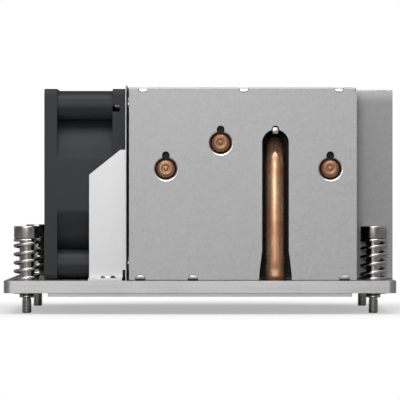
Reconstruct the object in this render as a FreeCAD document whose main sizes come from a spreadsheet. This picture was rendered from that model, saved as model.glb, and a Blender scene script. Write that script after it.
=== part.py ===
"""Active cooler for a 2U server processor: base plate, heat pipes, fin stack, side fan and captive screws.

Frame: origin at the centre of the contact face under the pedestal, X along the plate with the fan at -X,
Y across the plate, Z up. Millimetres.
"""

import FreeCAD, Part
import Sketcher
import math
import os

doc = FreeCAD.newDocument("server_cooler")
sheet = doc.addObject("Spreadsheet::Sheet", "Sizes")
Y, Z = FreeCAD.Vector(0, 1, 0), FreeCAD.Vector(0, 0, 1)


# Sizes that carry their own formula

class Size:
    """A number together with the sheet formula that gives it, so that one expression sets both."""

    def __init__(self, number, formula=None):
        self.number = float(number)
        self.formula = formula or repr(self.number)

    def joined(self, sign, other, number):
        return Size(number, f"({self.formula} {sign} {as_size(other).formula})")

    def __add__(self, other):
        return self.joined("+", other, self.number + as_size(other).number)

    def __sub__(self, other):
        return self.joined("-", other, self.number - as_size(other).number)

    def __mul__(self, other):
        return self.joined("*", other, self.number * as_size(other).number)

    def __truediv__(self, other):
        return self.joined("/", other, self.number / as_size(other).number)

    def __neg__(self):
        return Size(-self.number, f"(0 - {self.formula})")

    def __radd__(self, other):
        return as_size(other) + self

    def __rsub__(self, other):
        return as_size(other) - self

    def __rmul__(self, other):
        return as_size(other) * self


def as_size(value):
    return value if isinstance(value, Size) else Size(value)


def root(size):
    return Size(math.sqrt(size.number), f"sqrt({size.formula})")


def length(alias, millimetres, note):
    """Write one driving dimension into the sheet and hand it back as a Size."""
    length.row += 1
    sheet.set(f"A{length.row}", note)
    sheet.set(f"B{length.row}", str(millimetres))
    sheet.setAlias(f"B{length.row}", alias)
    return Size(millimetres, f"Sizes.{alias}")


length.row = 0

# Base plate
plate_length = length("plate_length", 122, "base plate along X")
plate_depth = length("plate_depth", 78, "base plate across Y")
plate_thickness = length("plate_thickness", 3.8, "thickness of the plate's wings")
plate_corner = length("plate_corner", 2.5, "radius of the plate's upright corners")
pedestal_length = length("pedestal_length", 94.4, "raised contact area under the plate, along X")
pedestal_depth = length("pedestal_depth", 77, "raised contact area, across Y")
pedestal_height = length("pedestal_height", 1.1, "how far the contact face stands below the wings")

# Captive spring screws
screw_span_x = length("screw_span_x", 109, "screw spacing along X")
screw_span_y = length("screw_span_y", 54, "screw spacing across Y")
screw_thread = length("screw_thread", 3.0, "thread diameter")
screw_shank = length("screw_shank", 4.6, "diameter of the plain shank")
screw_head = length("screw_head", 8.0, "head diameter")
head_height = length("head_height", 3.9, "head height")
screw_reach = length("screw_reach", 6.6, "thread tip below the plate's wings")
screw_bevel = length("screw_bevel", 0.4, "chamfer on the head and on the tip")
shank_end = length("shank_end", 1.2, "shank left below the retaining ring")
shank_play = length("shank_play", 0.08, "radial play of the shank in the plate")
ring_diameter = length("ring_diameter", 8.6, "outside diameter of the retaining ring")
ring_thickness = length("ring_thickness", 0.5, "thickness of the retaining ring")
ring_seat = length("ring_seat", 3.4, "diameter of the groove that holds the retaining ring")
ring_play = length("ring_play", 0.05, "play round and beside the retaining ring")
ring_mouth = length("ring_mouth", 2.6, "width of the retaining ring's open side")
spring_outside = length("spring_outside", 8.4, "outside diameter of the spring")
spring_wire = length("spring_wire", 1.0, "thickness of the spring wire")
spring_length = length("spring_length", 13, "height of the spring as fitted")
spring_turns = length("spring_turns", 5.75, "turns of the spring, closed ends included")

# Fin stack
fin_height = length("fin_height", 60, "fin height")
fin_sheet = length("fin_sheet", 0.4, "sheet thickness of a fin")
fin_pitch = length("fin_pitch", 2.4, "spacing of the fins")
fin_gap = length("fin_gap", 0.03, "gap left where a flange meets the next fin")
stack_left = length("stack_left", -22, "left end of every fin, along X")
short_fin = length("short_fin", 70.6, "length of the fins beside the screws")
long_fin = length("long_fin", 83, "length of the fins between the screw rows")
stack_depth = length("stack_depth", 77, "room for the fins, across Y")
screw_room = length("screw_room", 1.0, "room between a spring and the long fins")
HOLE_SIDES = 6       # of the pipe holes in the fins that others hide

# Heat pipes
pipe_diameter = length("pipe_diameter", 6.0, "heat pipe diameter")
pipe_bend = length("pipe_bend", 8.4, "bend radius at the pipe's centre line")
pipe_flat = length("pipe_flat", 3.6, "height of a pipe where it is pressed flat in the plate")
pipe_inset = length("pipe_inset", 5.9, "riser centre behind the face of the stack")
pipe_overhang = length("pipe_overhang", 0.6, "pipe end in front of the face of the stack")
pipe_tip = length("pipe_tip", 5.4, "diameter of a pipe's closed end")
pipe_fit = length("pipe_fit", 0.05, "gap round a pipe in a fin or in its groove")
pipe_spacing = length("pipe_spacing", 17, "spacing of the pipes along X")
first_pipe = length("first_pipe", -10.6, "first pipe from the plate's centre, along X")
low_leg = length("low_leg", 34.8, "upper leg of the outer pipes above the plate")
high_leg = length("high_leg", 42.8, "upper leg of the inner pipes above the plate")
slot_width = length("slot_width", 8.3, "width of the slot that clears a riser")
slot_foot = length("slot_foot", 10.2, "width of that slot where it meets the plate")
slot_foot_height = length("slot_foot_height", 9, "height of the slot's wider foot")
key_width = length("key_width", 2.4, "width of the key slot over a pipe hole")
key_rise = length("key_rise", 5.4, "top of the key slot above the pipe's centre")

# Fan
fan_size = length("fan_size", 60, "side of the fan")
fan_thickness = length("fan_thickness", 25.4, "fan along X")
fan_left = length("fan_left", -48.8, "left face of the fan, along X")
fan_corner = length("fan_corner", 2.0, "corner radius of the fan's flanges")
fan_flange = length("fan_flange", 4.0, "thickness of the fan's flanges")
fan_wall = length("fan_wall", 1.5, "wall between the fan's bore and its side")
duct_wall = length("duct_wall", 2.5, "wall of the duct before it is cut square")
duct_recess = length("duct_recess", 0.5, "top and bottom of the duct below the flanges")
fan_hole_inset = length("fan_hole_inset", 5, "fan mounting holes inside the fan's sides")
fan_hole = length("fan_hole", 4.3, "fan mounting hole")
fan_boss = length("fan_boss", 9, "tube round a mounting hole, from flange to flange")
seat_diameter = length("seat_diameter", 33, "motor seat")
seat_thickness = length("seat_thickness", 2.0, "thickness of the motor seat")
strut_width = length("strut_width", 2.2, "width of a strut")
strut_depth = length("strut_depth", 3.6, "depth of a strut along X")
STRUTS = 4
lead_notch = length("lead_notch", 2.2, "notch for the lead in the right flange")
hub_diameter = length("hub_diameter", 34, "impeller hub")
hub_wall = length("hub_wall", 1.2, "wall of the impeller hub")
hub_inlet = length("hub_inlet", 1.2, "hub face behind the fan's left face")
hub_length = length("hub_length", 19, "length of the hub")
hub_bevel = length("hub_bevel", 0.8, "bevelled edge of the hub's face")
tip_play = length("tip_play", 0.5, "gap between the corner of a blade's flat tip and the duct")
blade_sheet = length("blade_sheet", 1.1, "blade thickness at its middle")
blade_inset = length("blade_inset", 1.0, "blade edge inside the hub's ends")
blade_skew = length("blade_skew", 18, "blade across the axis, from its front edge to its back edge")
blade_rise = length("blade_rise", 2.2, "hollow of the blade's curve")
blade_edge = length("blade_edge", 0.4, "thickness of the blade's edges, round the hub")
BLADES = 7

# Fan motor
yoke_wall = length("yoke_wall", 0.8, "steel cup inside the hub")
magnet_wall = length("magnet_wall", 2.0, "ring magnet")
air_gap = length("air_gap", 0.4, "gap between the magnet and the stator")
core_length = length("core_length", 6, "stator core along X")
motor_play = length("motor_play", 0.03, "play between parts pushed together in the motor")
tube_diameter = length("tube_diameter", 8, "bearing tube")
bush_diameter = length("bush_diameter", 5.2, "sleeve bearing")
bush_length = length("bush_length", 12, "sleeve bearing along X")
shaft_diameter = length("shaft_diameter", 3, "fan shaft")
boss_diameter = length("boss_diameter", 7, "boss in the hub that holds the shaft")
boss_length = length("boss_length", 2.4, "that boss along X")
magnet_length = length("magnet_length", 10, "ring magnet along X")
clip_thickness = length("clip_thickness", 0.4, "clip that keeps the shaft in its bearing")
clip_neck = length("clip_neck", 2.0, "shaft diameter under that clip")
clip_diameter = length("clip_diameter", 4.6, "outside diameter of that clip")
tooth_neck = length("tooth_neck", 3.0, "width of a stator tooth under its coil")
tooth_shoe = length("tooth_shoe", 1.6, "depth of a tooth's shoe")
shoe_width = length("shoe_width", 10, "width of a tooth's shoe")
coil_wall = length("coil_wall", 1.3, "thickness of a coil")
POLES = 4
board_thickness = length("board_thickness", 1.0, "circuit board")
board_diameter = length("board_diameter", 27, "circuit board")

# Fan bracket and its screws
bracket_sheet = length("bracket_sheet", 0.8, "sheet thickness of the bracket")
bracket_rise = length("bracket_rise", 1.0, "bracket above the fan")
bracket_play = length("bracket_play", 0.2, "gap between the fan's side and the bracket")
wing_length = length("wing_length", 12.15, "bracket wing along X")
wing_top = length("wing_top", 40.8, "wing above the plate at the fins")
wing_shoulder = length("wing_shoulder", 33, "wing above the plate at its free edge")
wing_flat = length("wing_flat", 2.4, "level part of the wing's top")
foot_reach = length("foot_reach", 7.0, "bracket foot across Y")
foot_notch = length("foot_notch", 1.6, "relief between the wing and the back sheet")
foot_screw = length("foot_screw", 2.5, "thread of the bracket screws")
foot_screw_head = length("foot_screw_head", 4.6, "head diameter of the bracket screws")
foot_screw_top = length("foot_screw_top", 0.9, "head height of the bracket screws")
foot_screw_length = length("foot_screw_length", 3.6, "bracket screw under its head")
screw_fit = length("screw_fit", 0.03, "radial gap round a fixed screw")
fan_screw = length("fan_screw", 4.2, "thread of the fan screws")
fan_screw_head = length("fan_screw_head", 6.6, "head diameter of the fan screws")
fan_screw_top = length("fan_screw_top", 0.45, "head height of the fan screws")
fan_screw_length = length("fan_screw_length", 5, "fan screw under its head")

doc.recompute()

# Places that several parts share
plate_top = pedestal_height + plate_thickness
fan_right = fan_left + fan_thickness
fan_axis = plate_top + fan_size / 2
fan_bore = fan_size - 2 * fan_wall
duct_outside = fan_bore + 2 * duct_wall
fan_hole_span = fan_size - 2 * fan_hole_inset

# Fins: as many as the stack has room for. Those with a slot reach in past the pipes' bends, and the
# short ones reach in past the springs, with at least one unslotted fin among them on each side.
FINS = int(stack_depth.number / fin_pitch.number)
SLOTTED_FINS = math.ceil((pipe_inset + pipe_bend).number / fin_pitch.number)
screw_side = (stack_depth - screw_span_y + spring_outside) / 2 + screw_room
SHORT_FINS = max(math.ceil(screw_side.number / fin_pitch.number), SLOTTED_FINS + 1)
LONG_FINS = FINS - 2 * SHORT_FINS
stack_near = -(fin_pitch * FINS) / 2
bracket_left = fan_right
foot_screw_x = fan_right + bracket_sheet - wing_length / 2
foot_screw_y = fan_size / 2 + bracket_play + bracket_sheet + foot_reach / 2


# Sketches and features

def bind(thing, name, size):
    thing.setExpression(name, as_size(size).formula)


def new_body(label):
    return doc.addObject("PartDesign::Body", label)


def origin_feature(body, role):
    return next(feature for feature in body.Origin.OriginFeatures if feature.Role == role)


class Drawing:
    """A sketch on one of a body's origin planes, `at` a distance along that plane's axis.

    On XY a point is (x, y), on XZ it is (x, z) and on YZ it is (y, z). Every point is held by the sheet.
    """

    def __init__(self, body, plane, at=0):
        self.body = body
        self.plane = plane
        self.sketch = body.newObject("Sketcher::SketchObject", "Sketch")
        self.sketch.AttachmentSupport = [(origin_feature(body, plane + "_Plane"), "")]
        self.sketch.MapMode = "FlatFace"
        bind(self.sketch, "AttachmentOffset.Base.z", -as_size(at) if plane == "XZ" else at)

    def hold(self, kind, where, size):
        index = self.sketch.addConstraint(Sketcher.Constraint(kind, *where, size.number))
        self.sketch.setExpression(f"Constraints[{index}]", size.formula)

    def hold_point(self, geometry, end, x, y):
        self.hold("DistanceX", (-1, 1, geometry, end), x)
        self.hold("DistanceY", (-1, 1, geometry, end), y)

    def circle(self, x, y, diameter):
        x, y, diameter = as_size(x), as_size(y), as_size(diameter)
        centre = FreeCAD.Vector(x.number, y.number, 0)
        index = self.sketch.addGeometry(Part.Circle(centre, Z, diameter.number / 2))
        self.hold_point(index, 3, x, y)
        self.hold("Diameter", (index,), diameter)
        return self

    def outline(self, corners):
        """A closed outline. A corner is (x, y), or (x, y, radius) where two square edges meet."""
        corners = [[as_size(value) for value in corner] for corner in corners]
        edges = []
        for before, corner, after in zip(corners[-1:] + corners[:-1], corners, corners[1:] + corners[:1]):
            x, y = corner[:2]
            if len(corner) == 2:
                edges.append(("line", x, y, None))
                continue
            radius = corner[2]
            back, ahead = direction(corner, before), direction(corner, after)
            edges.append(("arc", x + radius * back[0], y + radius * back[1],
                          x + radius * (back[0] + ahead[0])))
            edges.append(("line", x + radius * ahead[0], y + radius * ahead[1], None))
        drawn = []
        for edge, following in zip(edges, edges[1:] + edges[:1]):
            start = FreeCAD.Vector(edge[1].number, edge[2].number, 0)
            end = FreeCAD.Vector(following[1].number, following[2].number, 0)
            if start.distanceToPoint(end) < 1e-6:
                continue
            if edge[0] == "line":
                index = self.sketch.addGeometry(Part.LineSegment(start, end))
                drawn.append((index, 1, 2, edge))
            else:
                centre_x = edge[3].number
                centre_y = end.y if abs(start.x - centre_x) < 1e-6 else start.y
                index, first, last = self.short_arc(start, end, FreeCAD.Vector(centre_x, centre_y, 0))
                drawn.append((index, first, last, edge))
        for (index, first, last, edge), following in zip(drawn, drawn[1:] + drawn[:1]):
            self.hold_point(index, first, edge[1], edge[2])
            if edge[0] == "arc":
                self.hold("DistanceX", (-1, 1, index, 3), edge[3])
            self.sketch.addConstraint(Sketcher.Constraint("Coincident", index, last,
                                                          following[0], following[1]))
        return self

    def short_arc(self, start, end, centre):
        """Add the shorter arc from start to end; give its index and which of its ends is the start."""
        arms = start - centre, end - centre
        clockwise = arms[0].cross(arms[1]).z < 0
        first, last = [math.atan2(arm.y, arm.x) for arm in (reversed(arms) if clockwise else arms)]
        circle = Part.Circle(centre, Z, arms[0].Length)
        index = self.sketch.addGeometry(Part.ArcOfCircle(circle, first, last + math.tau * (last < first)))
        return (index, 2, 1) if clockwise else (index, 1, 2)

    def rectangle(self, left, bottom, right, top, radius=None):
        corners = [(left, bottom), (right, bottom), (right, top), (left, top)]
        return self.outline([corner + (radius,) if radius else corner for corner in corners])


def direction(corner, towards):
    step = towards[0].number - corner[0].number, towards[1].number - corner[1].number
    return tuple(0 if abs(part) < 1e-6 else math.copysign(1, part) for part in step)


def pad(drawing, thickness):
    """Extrude a drawing towards +X, +Y or +Z."""
    feature = drawing.body.newObject("PartDesign::Pad", "Pad")
    feature.Profile = drawing.sketch
    feature.Reversed = drawing.plane == "XZ"
    bind(feature, "Length", thickness)
    return feature


def cut(drawing, depth):
    """Cut a drawing's outline out of its body towards +X, +Y or +Z."""
    feature = drawing.body.newObject("PartDesign::Pocket", "Pocket")
    feature.Profile = drawing.sketch
    feature.Reversed = drawing.plane != "XZ"
    bind(feature, "Length", depth)
    return feature


def revolve(drawing, axis, kind="Revolution"):
    """Turn a drawing about one of its body's origin axes; the kind Groove takes material away."""
    feature = drawing.body.newObject("PartDesign::" + kind, kind)
    feature.Profile = drawing.sketch
    feature.ReferenceAxis = (origin_feature(drawing.body, axis + "_Axis"), [""])
    feature.Angle = 360
    return feature


def around(features, axis, count):
    """Repeat features in a ring, and make the ring the body's result."""
    body = features[0].getParentGeoFeatureGroup()
    pattern = body.newObject("PartDesign::PolarPattern", "Ring")
    pattern.Originals = features
    pattern.Axis = (origin_feature(body, axis + "_Axis"), [""])
    pattern.Angle = 360
    pattern.Occurrences = count
    body.Tip = pattern
    return pattern


def along(features, axis, spacing, count):
    """Repeat features in a row, each copy a solid of its own."""
    body = features[0].getParentGeoFeatureGroup()
    pattern = body.newObject("PartDesign::LinearPattern", "Row")
    pattern.Originals = features
    pattern.Direction = (origin_feature(body, axis + "_Axis"), [""])
    pattern.Mode = "Spacing"
    pattern.Occurrences = count
    bind(pattern, "Offset", spacing)
    body.Tip = pattern


def place(body, x, y, z):
    for axis, size in zip("xyz", (x, y, z)):
        bind(body, f"Placement.Base.{axis}", size)
    return body


# Base plate

def pipe_width(height):
    """Width of a heat pipe pressed to a height, its girth unchanged."""
    return height + (pipe_diameter - height) * (math.pi / 2)


PIPE_X = [first_pipe + pipe_spacing * place_in_row for place_in_row in range(4)]
PIPE_LEG = [low_leg, high_leg, high_leg, low_leg]
PIPE_SIDE = [1, 1, -1, 1]       # the side of the stack, along Y, that each riser stands on
riser_y = -stack_near - pipe_inset
pipe_end_y = -stack_near + pipe_overhang


def base_plate():
    body = new_body("base_plate")
    wings = Drawing(body, "XY", pedestal_height)
    wings.rectangle(-plate_length / 2, -plate_depth / 2, plate_length / 2, plate_depth / 2, plate_corner)
    pad(wings, plate_thickness)
    pedestal = Drawing(body, "XY")
    pedestal.rectangle(-pedestal_length / 2, -pedestal_depth / 2, pedestal_length / 2, pedestal_depth / 2)
    pad(pedestal, pedestal_height)
    holes = Drawing(body, "XY")
    for x in (-screw_span_x / 2, screw_span_x / 2):
        for y in (-screw_span_y / 2, screw_span_y / 2):
            holes.circle(x, y, screw_shank + 2 * shank_play)
    for y in (-foot_screw_y, foot_screw_y):
        holes.circle(foot_screw_x, y, foot_screw + 2 * screw_fit)
    cut(holes, plate_top)
    floor = plate_top - pipe_flat - pipe_fit
    half = pipe_width(pipe_flat) / 2 + pipe_fit
    for x, side in zip(PIPE_X, PIPE_SIDE):
        far, near = groove_ends(side)
        groove = Drawing(body, "XZ", near)
        groove.outline([(x - half, plate_top), (x - half, floor, pipe_flat / 2),
                        (x + half, floor, pipe_flat / 2), (x + half, plate_top)])
        cut(groove, far - near)
    return body


def groove_ends(side):
    """The far and near ends, along Y, of the groove under a pipe whose riser is on a side."""
    blind_end = -side * flat_end_y
    open_end = side * (riser_y + pipe_flat / 2)
    return (open_end, blind_end) if side > 0 else (blind_end, open_end)


flat_end_y = riser_y      # the pressed leg stops as far in as the riser on the other side
base_plate()


# Heat pipes

BEND_STEPS = 4
PIPE_SIDES = 16


def section(width, height, y, z, turn, x):
    """Points on a circle, or on an obround when wider than high. Turn is the pipe's heading from +Y."""
    round_radius, straight = height / 2, (width - height) / 2
    corners = []
    for side in range(PIPE_SIDES):
        angle = math.tau * (side + 0.5) / PIPE_SIDES
        centre = math.copysign(straight, math.cos(angle))
        corners.append(FreeCAD.Vector(centre + round_radius * math.cos(angle),
                                      round_radius * math.sin(angle), 0))
    along_y, along_z = math.cos(math.radians(turn)), math.sin(math.radians(turn))
    standing = FreeCAD.Matrix(1, 0, 0, x, 0, -along_z, along_y, y, 0, along_y, along_z, z)
    corners = [standing.multVec(corner) for corner in corners]
    return Part.makePolygon(corners + corners[:1])


def heat_pipe(label, x, leg, side):
    """A C-shaped pipe: upper leg through the fins, riser, and lower leg pressed flat in the plate."""
    diameter, bend, flat = pipe_diameter.number, pipe_bend.number, pipe_flat.number
    top = (plate_top + leg).number
    bottom = plate_top.number - flat / 2
    riser, end, tip = riser_y.number, pipe_end_y.number, pipe_tip.number
    turn_y = riser - bend
    upper = [section(tip, tip, -end, top, 0, 0), section(diameter, diameter, tip - end, top, 0, 0),
             section(diameter, diameter, turn_y, top, 0, 0)]
    lower = []
    for step in range(1, BEND_STEPS + 1):
        turn = 90 * step / BEND_STEPS
        sine, cosine = math.sin(math.radians(turn)), math.cos(math.radians(turn))
        upper.append(section(diameter, diameter, turn_y + bend * sine, top - bend + bend * cosine, -turn, 0))
        height = diameter + (flat - diameter) * step / BEND_STEPS
        width = pipe_width(as_size(height)).number
        lower.append(section(width, height, turn_y + bend * cosine, bottom + bend - bend * sine,
                             -90 - turn, 0))
    foot = section(diameter, diameter, riser, bottom + bend, -90, 0)
    lower = [foot] + lower + [section(width, flat, -flat_end_y.number + pipe_fit.number, bottom, -180, 0)]
    pipe = Part.makeLoft(upper + [foot], True, True).fuse(Part.makeLoft(lower, True, True))
    feature = doc.addObject("Part::Feature", label)
    feature.Shape = pipe.removeSplitter() if side > 0 else pipe.removeSplitter().mirror(FreeCAD.Vector(), Y)
    bind(feature, "Placement.Base.x", x)
    return feature


for number, (x, leg, side) in enumerate(zip(PIPE_X, PIPE_LEG, PIPE_SIDE), 1):
    heat_pipe(f"heat_pipe_{number}", x, leg, side)


# Fins

def fin(label, first, count, length_x, slots, plain):
    """A row of like fins, each a web with flanges folded to meet the next one.

    `slots` is the side whose risers pass through these fins, or 0. Plain fins have straight-sided pipe holes.
    """
    body = new_body(label)
    low, high = plate_top, plate_top + fin_height
    near = stack_near + fin_pitch * first
    reach = near + fin_pitch - fin_gap
    folded = Drawing(body, "YZ", stack_left)
    folded.outline([(near, low), (reach, low), (reach, low + fin_sheet), (near + fin_sheet, low + fin_sheet),
                    (near + fin_sheet, high - fin_sheet), (reach, high - fin_sheet), (reach, high),
                    (near, high)])
    features = [pad(folded, length_x)]
    openings = Drawing(body, "XZ", near)
    keys = None if plain else Drawing(body, "XZ", near)
    hole = pipe_diameter + 2 * pipe_fit
    for x, leg, side in zip(PIPE_X, PIPE_LEG, PIPE_SIDE):
        centre = plate_top + leg
        if side == slots:
            riser_slot(openings, x, centre, plain)
        elif plain:
            many_sided(openings, x, centre, hole)
        else:
            openings.circle(x, centre, hole)
        if keys:
            key_bottom = centre + (slot_width if side == slots else hole) / 2 - key_width / 2
            keys.rectangle(x - key_width / 2, key_bottom, x + key_width / 2, centre + key_rise)
    features.append(cut(openings, fin_pitch if slots else fin_sheet))
    if keys:
        features.append(cut(keys, fin_sheet))
    if count > 1:
        along(features, "Y", fin_pitch, count)
    return body


def riser_slot(drawing, x, centre, plain):
    """The slot that lets a riser stand among the fins: wider at its foot, round at its top."""
    half, foot, knee = slot_width / 2, slot_foot / 2, plate_top + slot_foot_height
    shoulder = knee + (slot_foot - slot_width) / 2
    top = [(x + half, centre + half, half), (x - half, centre + half, half)]
    if plain:
        facet = half * math.tan(math.pi / 8)
        top = [(x + half, centre + facet), (x + facet, centre + half),
               (x - facet, centre + half), (x - half, centre + facet)]
    drawing.outline([(x - foot, plate_top), (x + foot, plate_top), (x + foot, knee), (x + half, shoulder)]
                    + top + [(x - half, shoulder), (x - foot, knee)])


def many_sided(drawing, x, z, across):
    """A straight-sided hole drawn round a circle."""
    half_side = math.pi / HOLE_SIDES
    corner = across / 2 / math.cos(half_side)
    turns = [half_side * (2 * side + 1) for side in range(HOLE_SIDES)]
    drawing.outline([(x + corner * math.cos(turn), z + corner * math.sin(turn)) for turn in turns])


fin("near_cover_fin", 0, 1, short_fin, -1, False)
fin("near_slotted_fins", 1, SLOTTED_FINS - 1, short_fin, -1, True)
fin("near_inner_fins", SLOTTED_FINS, SHORT_FINS - SLOTTED_FINS, short_fin, 0, True)
fin("long_fins", SHORT_FINS, LONG_FINS, long_fin, 0, True)
fin("far_inner_fins", SHORT_FINS + LONG_FINS, SHORT_FINS - SLOTTED_FINS, short_fin, 0, True)
fin("far_slotted_fins", FINS - SLOTTED_FINS, SLOTTED_FINS - 1, short_fin, 1, True)
fin("far_cover_fin", FINS - 1, 1, short_fin, 1, False)


# Fan: every part of it is drawn about the X axis, from the fan's left face

def place_on_fan(body):
    return place(body, fan_left, 0, fan_axis)


def fan_frame():
    body = new_body("fan_frame")
    half, flange_back = fan_size / 2, fan_thickness - fan_flange
    for face in (0, flange_back):
        flange = Drawing(body, "YZ", face)
        flange.rectangle(-half, -half, half, half, fan_corner)
        pad(flange, fan_flange)
    pad(Drawing(body, "YZ").circle(0, 0, duct_outside), fan_thickness)
    beyond = half + duct_outside / 2
    for side in (-1, 1):
        trim = Drawing(body, "YZ")
        trim.rectangle(side * half, -half, side * beyond, half)
        cut(trim, fan_thickness)
        trim = Drawing(body, "YZ")
        trim.rectangle(-half, side * half, half, side * beyond)
        cut(trim, fan_thickness)
        recess = Drawing(body, "YZ", fan_flange)
        recess.rectangle(-half, side * (half - duct_recess), half, side * beyond)
        cut(recess, fan_thickness - 2 * fan_flange)
    bosses = Drawing(body, "YZ")
    openings = Drawing(body, "YZ").circle(0, 0, fan_bore)
    for y in (-fan_hole_span / 2, fan_hole_span / 2):
        for z in (-fan_hole_span / 2, fan_hole_span / 2):
            bosses.circle(y, z, fan_boss)
            openings.circle(y, z, fan_hole)
    pad(bosses, fan_thickness)
    cut(openings, fan_thickness)
    seat = Drawing(body, "YZ", fan_thickness - seat_thickness).circle(0, 0, seat_diameter)
    pad(seat, seat_thickness)
    strut = Drawing(body, "YZ", fan_thickness - strut_depth)
    strut.rectangle(-strut_width / 2, seat_diameter / 2 - strut_width, strut_width / 2,
                    fan_bore / 2 + strut_width / 2)
    around([pad(strut, strut_depth)], "X", STRUTS)
    notch_z = fan_hole_span / 2 - lead_notch
    notch = Drawing(body, "YZ", flange_back)
    notch.rectangle(-half, notch_z, -half + 2 * lead_notch, notch_z + lead_notch)
    cut(notch, lead_notch)
    return place_on_fan(body)


fan_frame()


def arc_centre(start, end, rise):
    """The centre of the arc from start to end that rises by `rise` to the left of its chord."""
    run, climb = end[0] - start[0], end[1] - start[1]
    chord = root(run * run + climb * climb)
    beyond = (chord * chord / 4 - rise * rise) / (2 * rise) / chord
    return (start[0] + end[0]) / 2 + beyond * climb, (start[1] + end[1]) / 2 - beyond * run


def crescent(drawing, start, end, rise, thickness):
    """A blade's section: two arcs, joined at their ends by the blade's blunt edges."""
    arcs = []
    for shift, height in ((0, rise), (blade_edge, rise + thickness)):
        first, last = [(as_size(x), y + shift) for x, y in (start, end)]
        x, y = arc_centre(first, last, height)
        ends = [FreeCAD.Vector(point[0].number, point[1].number, 0) for point in (first, last)]
        index, *points = drawing.short_arc(*ends, FreeCAD.Vector(x.number, y.number, 0))
        arcs.append((index, points, ends))
        drawing.hold("DistanceX", (-1, 1, index, 3), x)
        drawing.hold_point(index, points[0], *first)
        drawing.hold_point(index, points[1], *last)
    for point in (0, 1):
        line = drawing.sketch.addGeometry(Part.LineSegment(arcs[0][2][point], arcs[1][2][point]))
        for (index, points, _), end_of_line in zip(arcs, (1, 2)):
            drawing.sketch.addConstraint(Sketcher.Constraint("Coincident", index, points[point],
                                                             line, end_of_line))


def impeller():
    body = new_body("impeller")
    hub_radius, hub_end = hub_diameter / 2, hub_inlet + hub_length
    hub = Drawing(body, "XZ")
    hub.outline([(hub_inlet, 0), (hub_end, 0), (hub_end, hub_radius), (hub_inlet + hub_bevel, hub_radius),
                 (hub_inlet, hub_radius - hub_bevel)])
    revolve(hub, "X")
    tip_radius = fan_bore / 2 - tip_play
    root_radius, blade_half = hub_radius - 2 * hub_wall, blade_skew / 2
    tip_reach = blade_half + blade_edge
    blade = Drawing(body, "XY", root_radius)
    crescent(blade, (hub_inlet + blade_inset, -blade_half), (hub_end - blade_inset, blade_half),
             blade_rise, blade_sheet)
    tip = root(tip_radius * tip_radius - tip_reach * tip_reach)
    around([pad(blade, tip - root_radius)], "X", BLADES)
    hollow = Drawing(body, "XZ")
    inside, boss, face = hub_radius - hub_wall, boss_diameter / 2, hub_inlet + hub_wall
    boss_end = face + boss_length
    hollow.outline([(boss_end, 0), (boss_end, boss), (face, boss), (face, inside), (hub_end, inside),
                    (hub_end, 0)])
    revolve(hollow, "X", "Groove")
    shaft_hole = Drawing(body, "XZ")
    shaft_hole.rectangle(face, 0, boss_end, shaft_diameter / 2 + motor_play)
    revolve(shaft_hole, "X", "Groove")
    return place_on_fan(body)


impeller()


def turned(label, profile, axis="X"):
    """A part turned about an axis, from the outline of half its section."""
    body = new_body(label)
    revolve(Drawing(body, "XZ").outline(profile), axis)
    return body


cup_outside = hub_diameter / 2 - hub_wall - motor_play
cup_inside = cup_outside - yoke_wall
cup_face = hub_inlet + hub_wall + motor_play
magnet_outside = cup_inside - motor_play
magnet_inside = magnet_outside - magnet_wall
core_outside = magnet_inside - air_gap
magnet_back = hub_inlet + hub_length - 2 * hub_wall
tube_radius = tube_diameter / 2
bush_radius = bush_diameter / 2
shaft_radius = shaft_diameter / 2
seat_face = fan_thickness - seat_thickness
tube_front = cup_face + yoke_wall + boss_length
core_front = magnet_back - magnet_length / 2 - core_length / 2


def motor():
    """The brushless motor in the hub: a cup with its magnet on the rotor, the rest on the frame."""
    boss = boss_diameter / 2 + motor_play
    back = hub_inlet + hub_length - hub_wall
    place_on_fan(turned("rotor_yoke", [
        (cup_face, boss), (cup_face + yoke_wall, boss), (cup_face + yoke_wall, cup_inside),
        (back, cup_inside), (back, cup_outside), (cup_face, cup_outside)]))
    place_on_fan(turned("magnet_ring", [
        (magnet_back - magnet_length, magnet_inside), (magnet_back, magnet_inside),
        (magnet_back, magnet_outside), (magnet_back - magnet_length, magnet_outside)]))
    place_on_fan(turned("bearing_tube", [
        (tube_front, bush_radius + motor_play), (seat_face, bush_radius + motor_play),
        (seat_face, tube_radius + yoke_wall), (seat_face - yoke_wall, tube_radius + yoke_wall),
        (seat_face - yoke_wall, tube_radius), (tube_front, tube_radius)]))
    bush_front = tube_front + board_thickness
    place_on_fan(turned("sleeve_bearing", [
        (bush_front, shaft_radius + motor_play), (bush_front + bush_length, shaft_radius + motor_play),
        (bush_front + bush_length, bush_radius), (bush_front, bush_radius)]))
    clip_front = bush_front + bush_length + motor_play
    clip_back = clip_front + clip_thickness
    neck = clip_neck / 2
    place_on_fan(turned("fan_shaft", [
        (hub_inlet + hub_wall, 0), (clip_back + clip_thickness, 0), (clip_back + clip_thickness, shaft_radius),
        (clip_back + motor_play, shaft_radius), (clip_back + motor_play, neck), (clip_front, neck),
        (clip_front, shaft_radius), (hub_inlet + hub_wall, shaft_radius)]))
    place_on_fan(turned("shaft_clip", [
        (clip_front, neck), (clip_back, neck), (clip_back, clip_diameter / 2),
        (clip_front, clip_diameter / 2)]))


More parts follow.
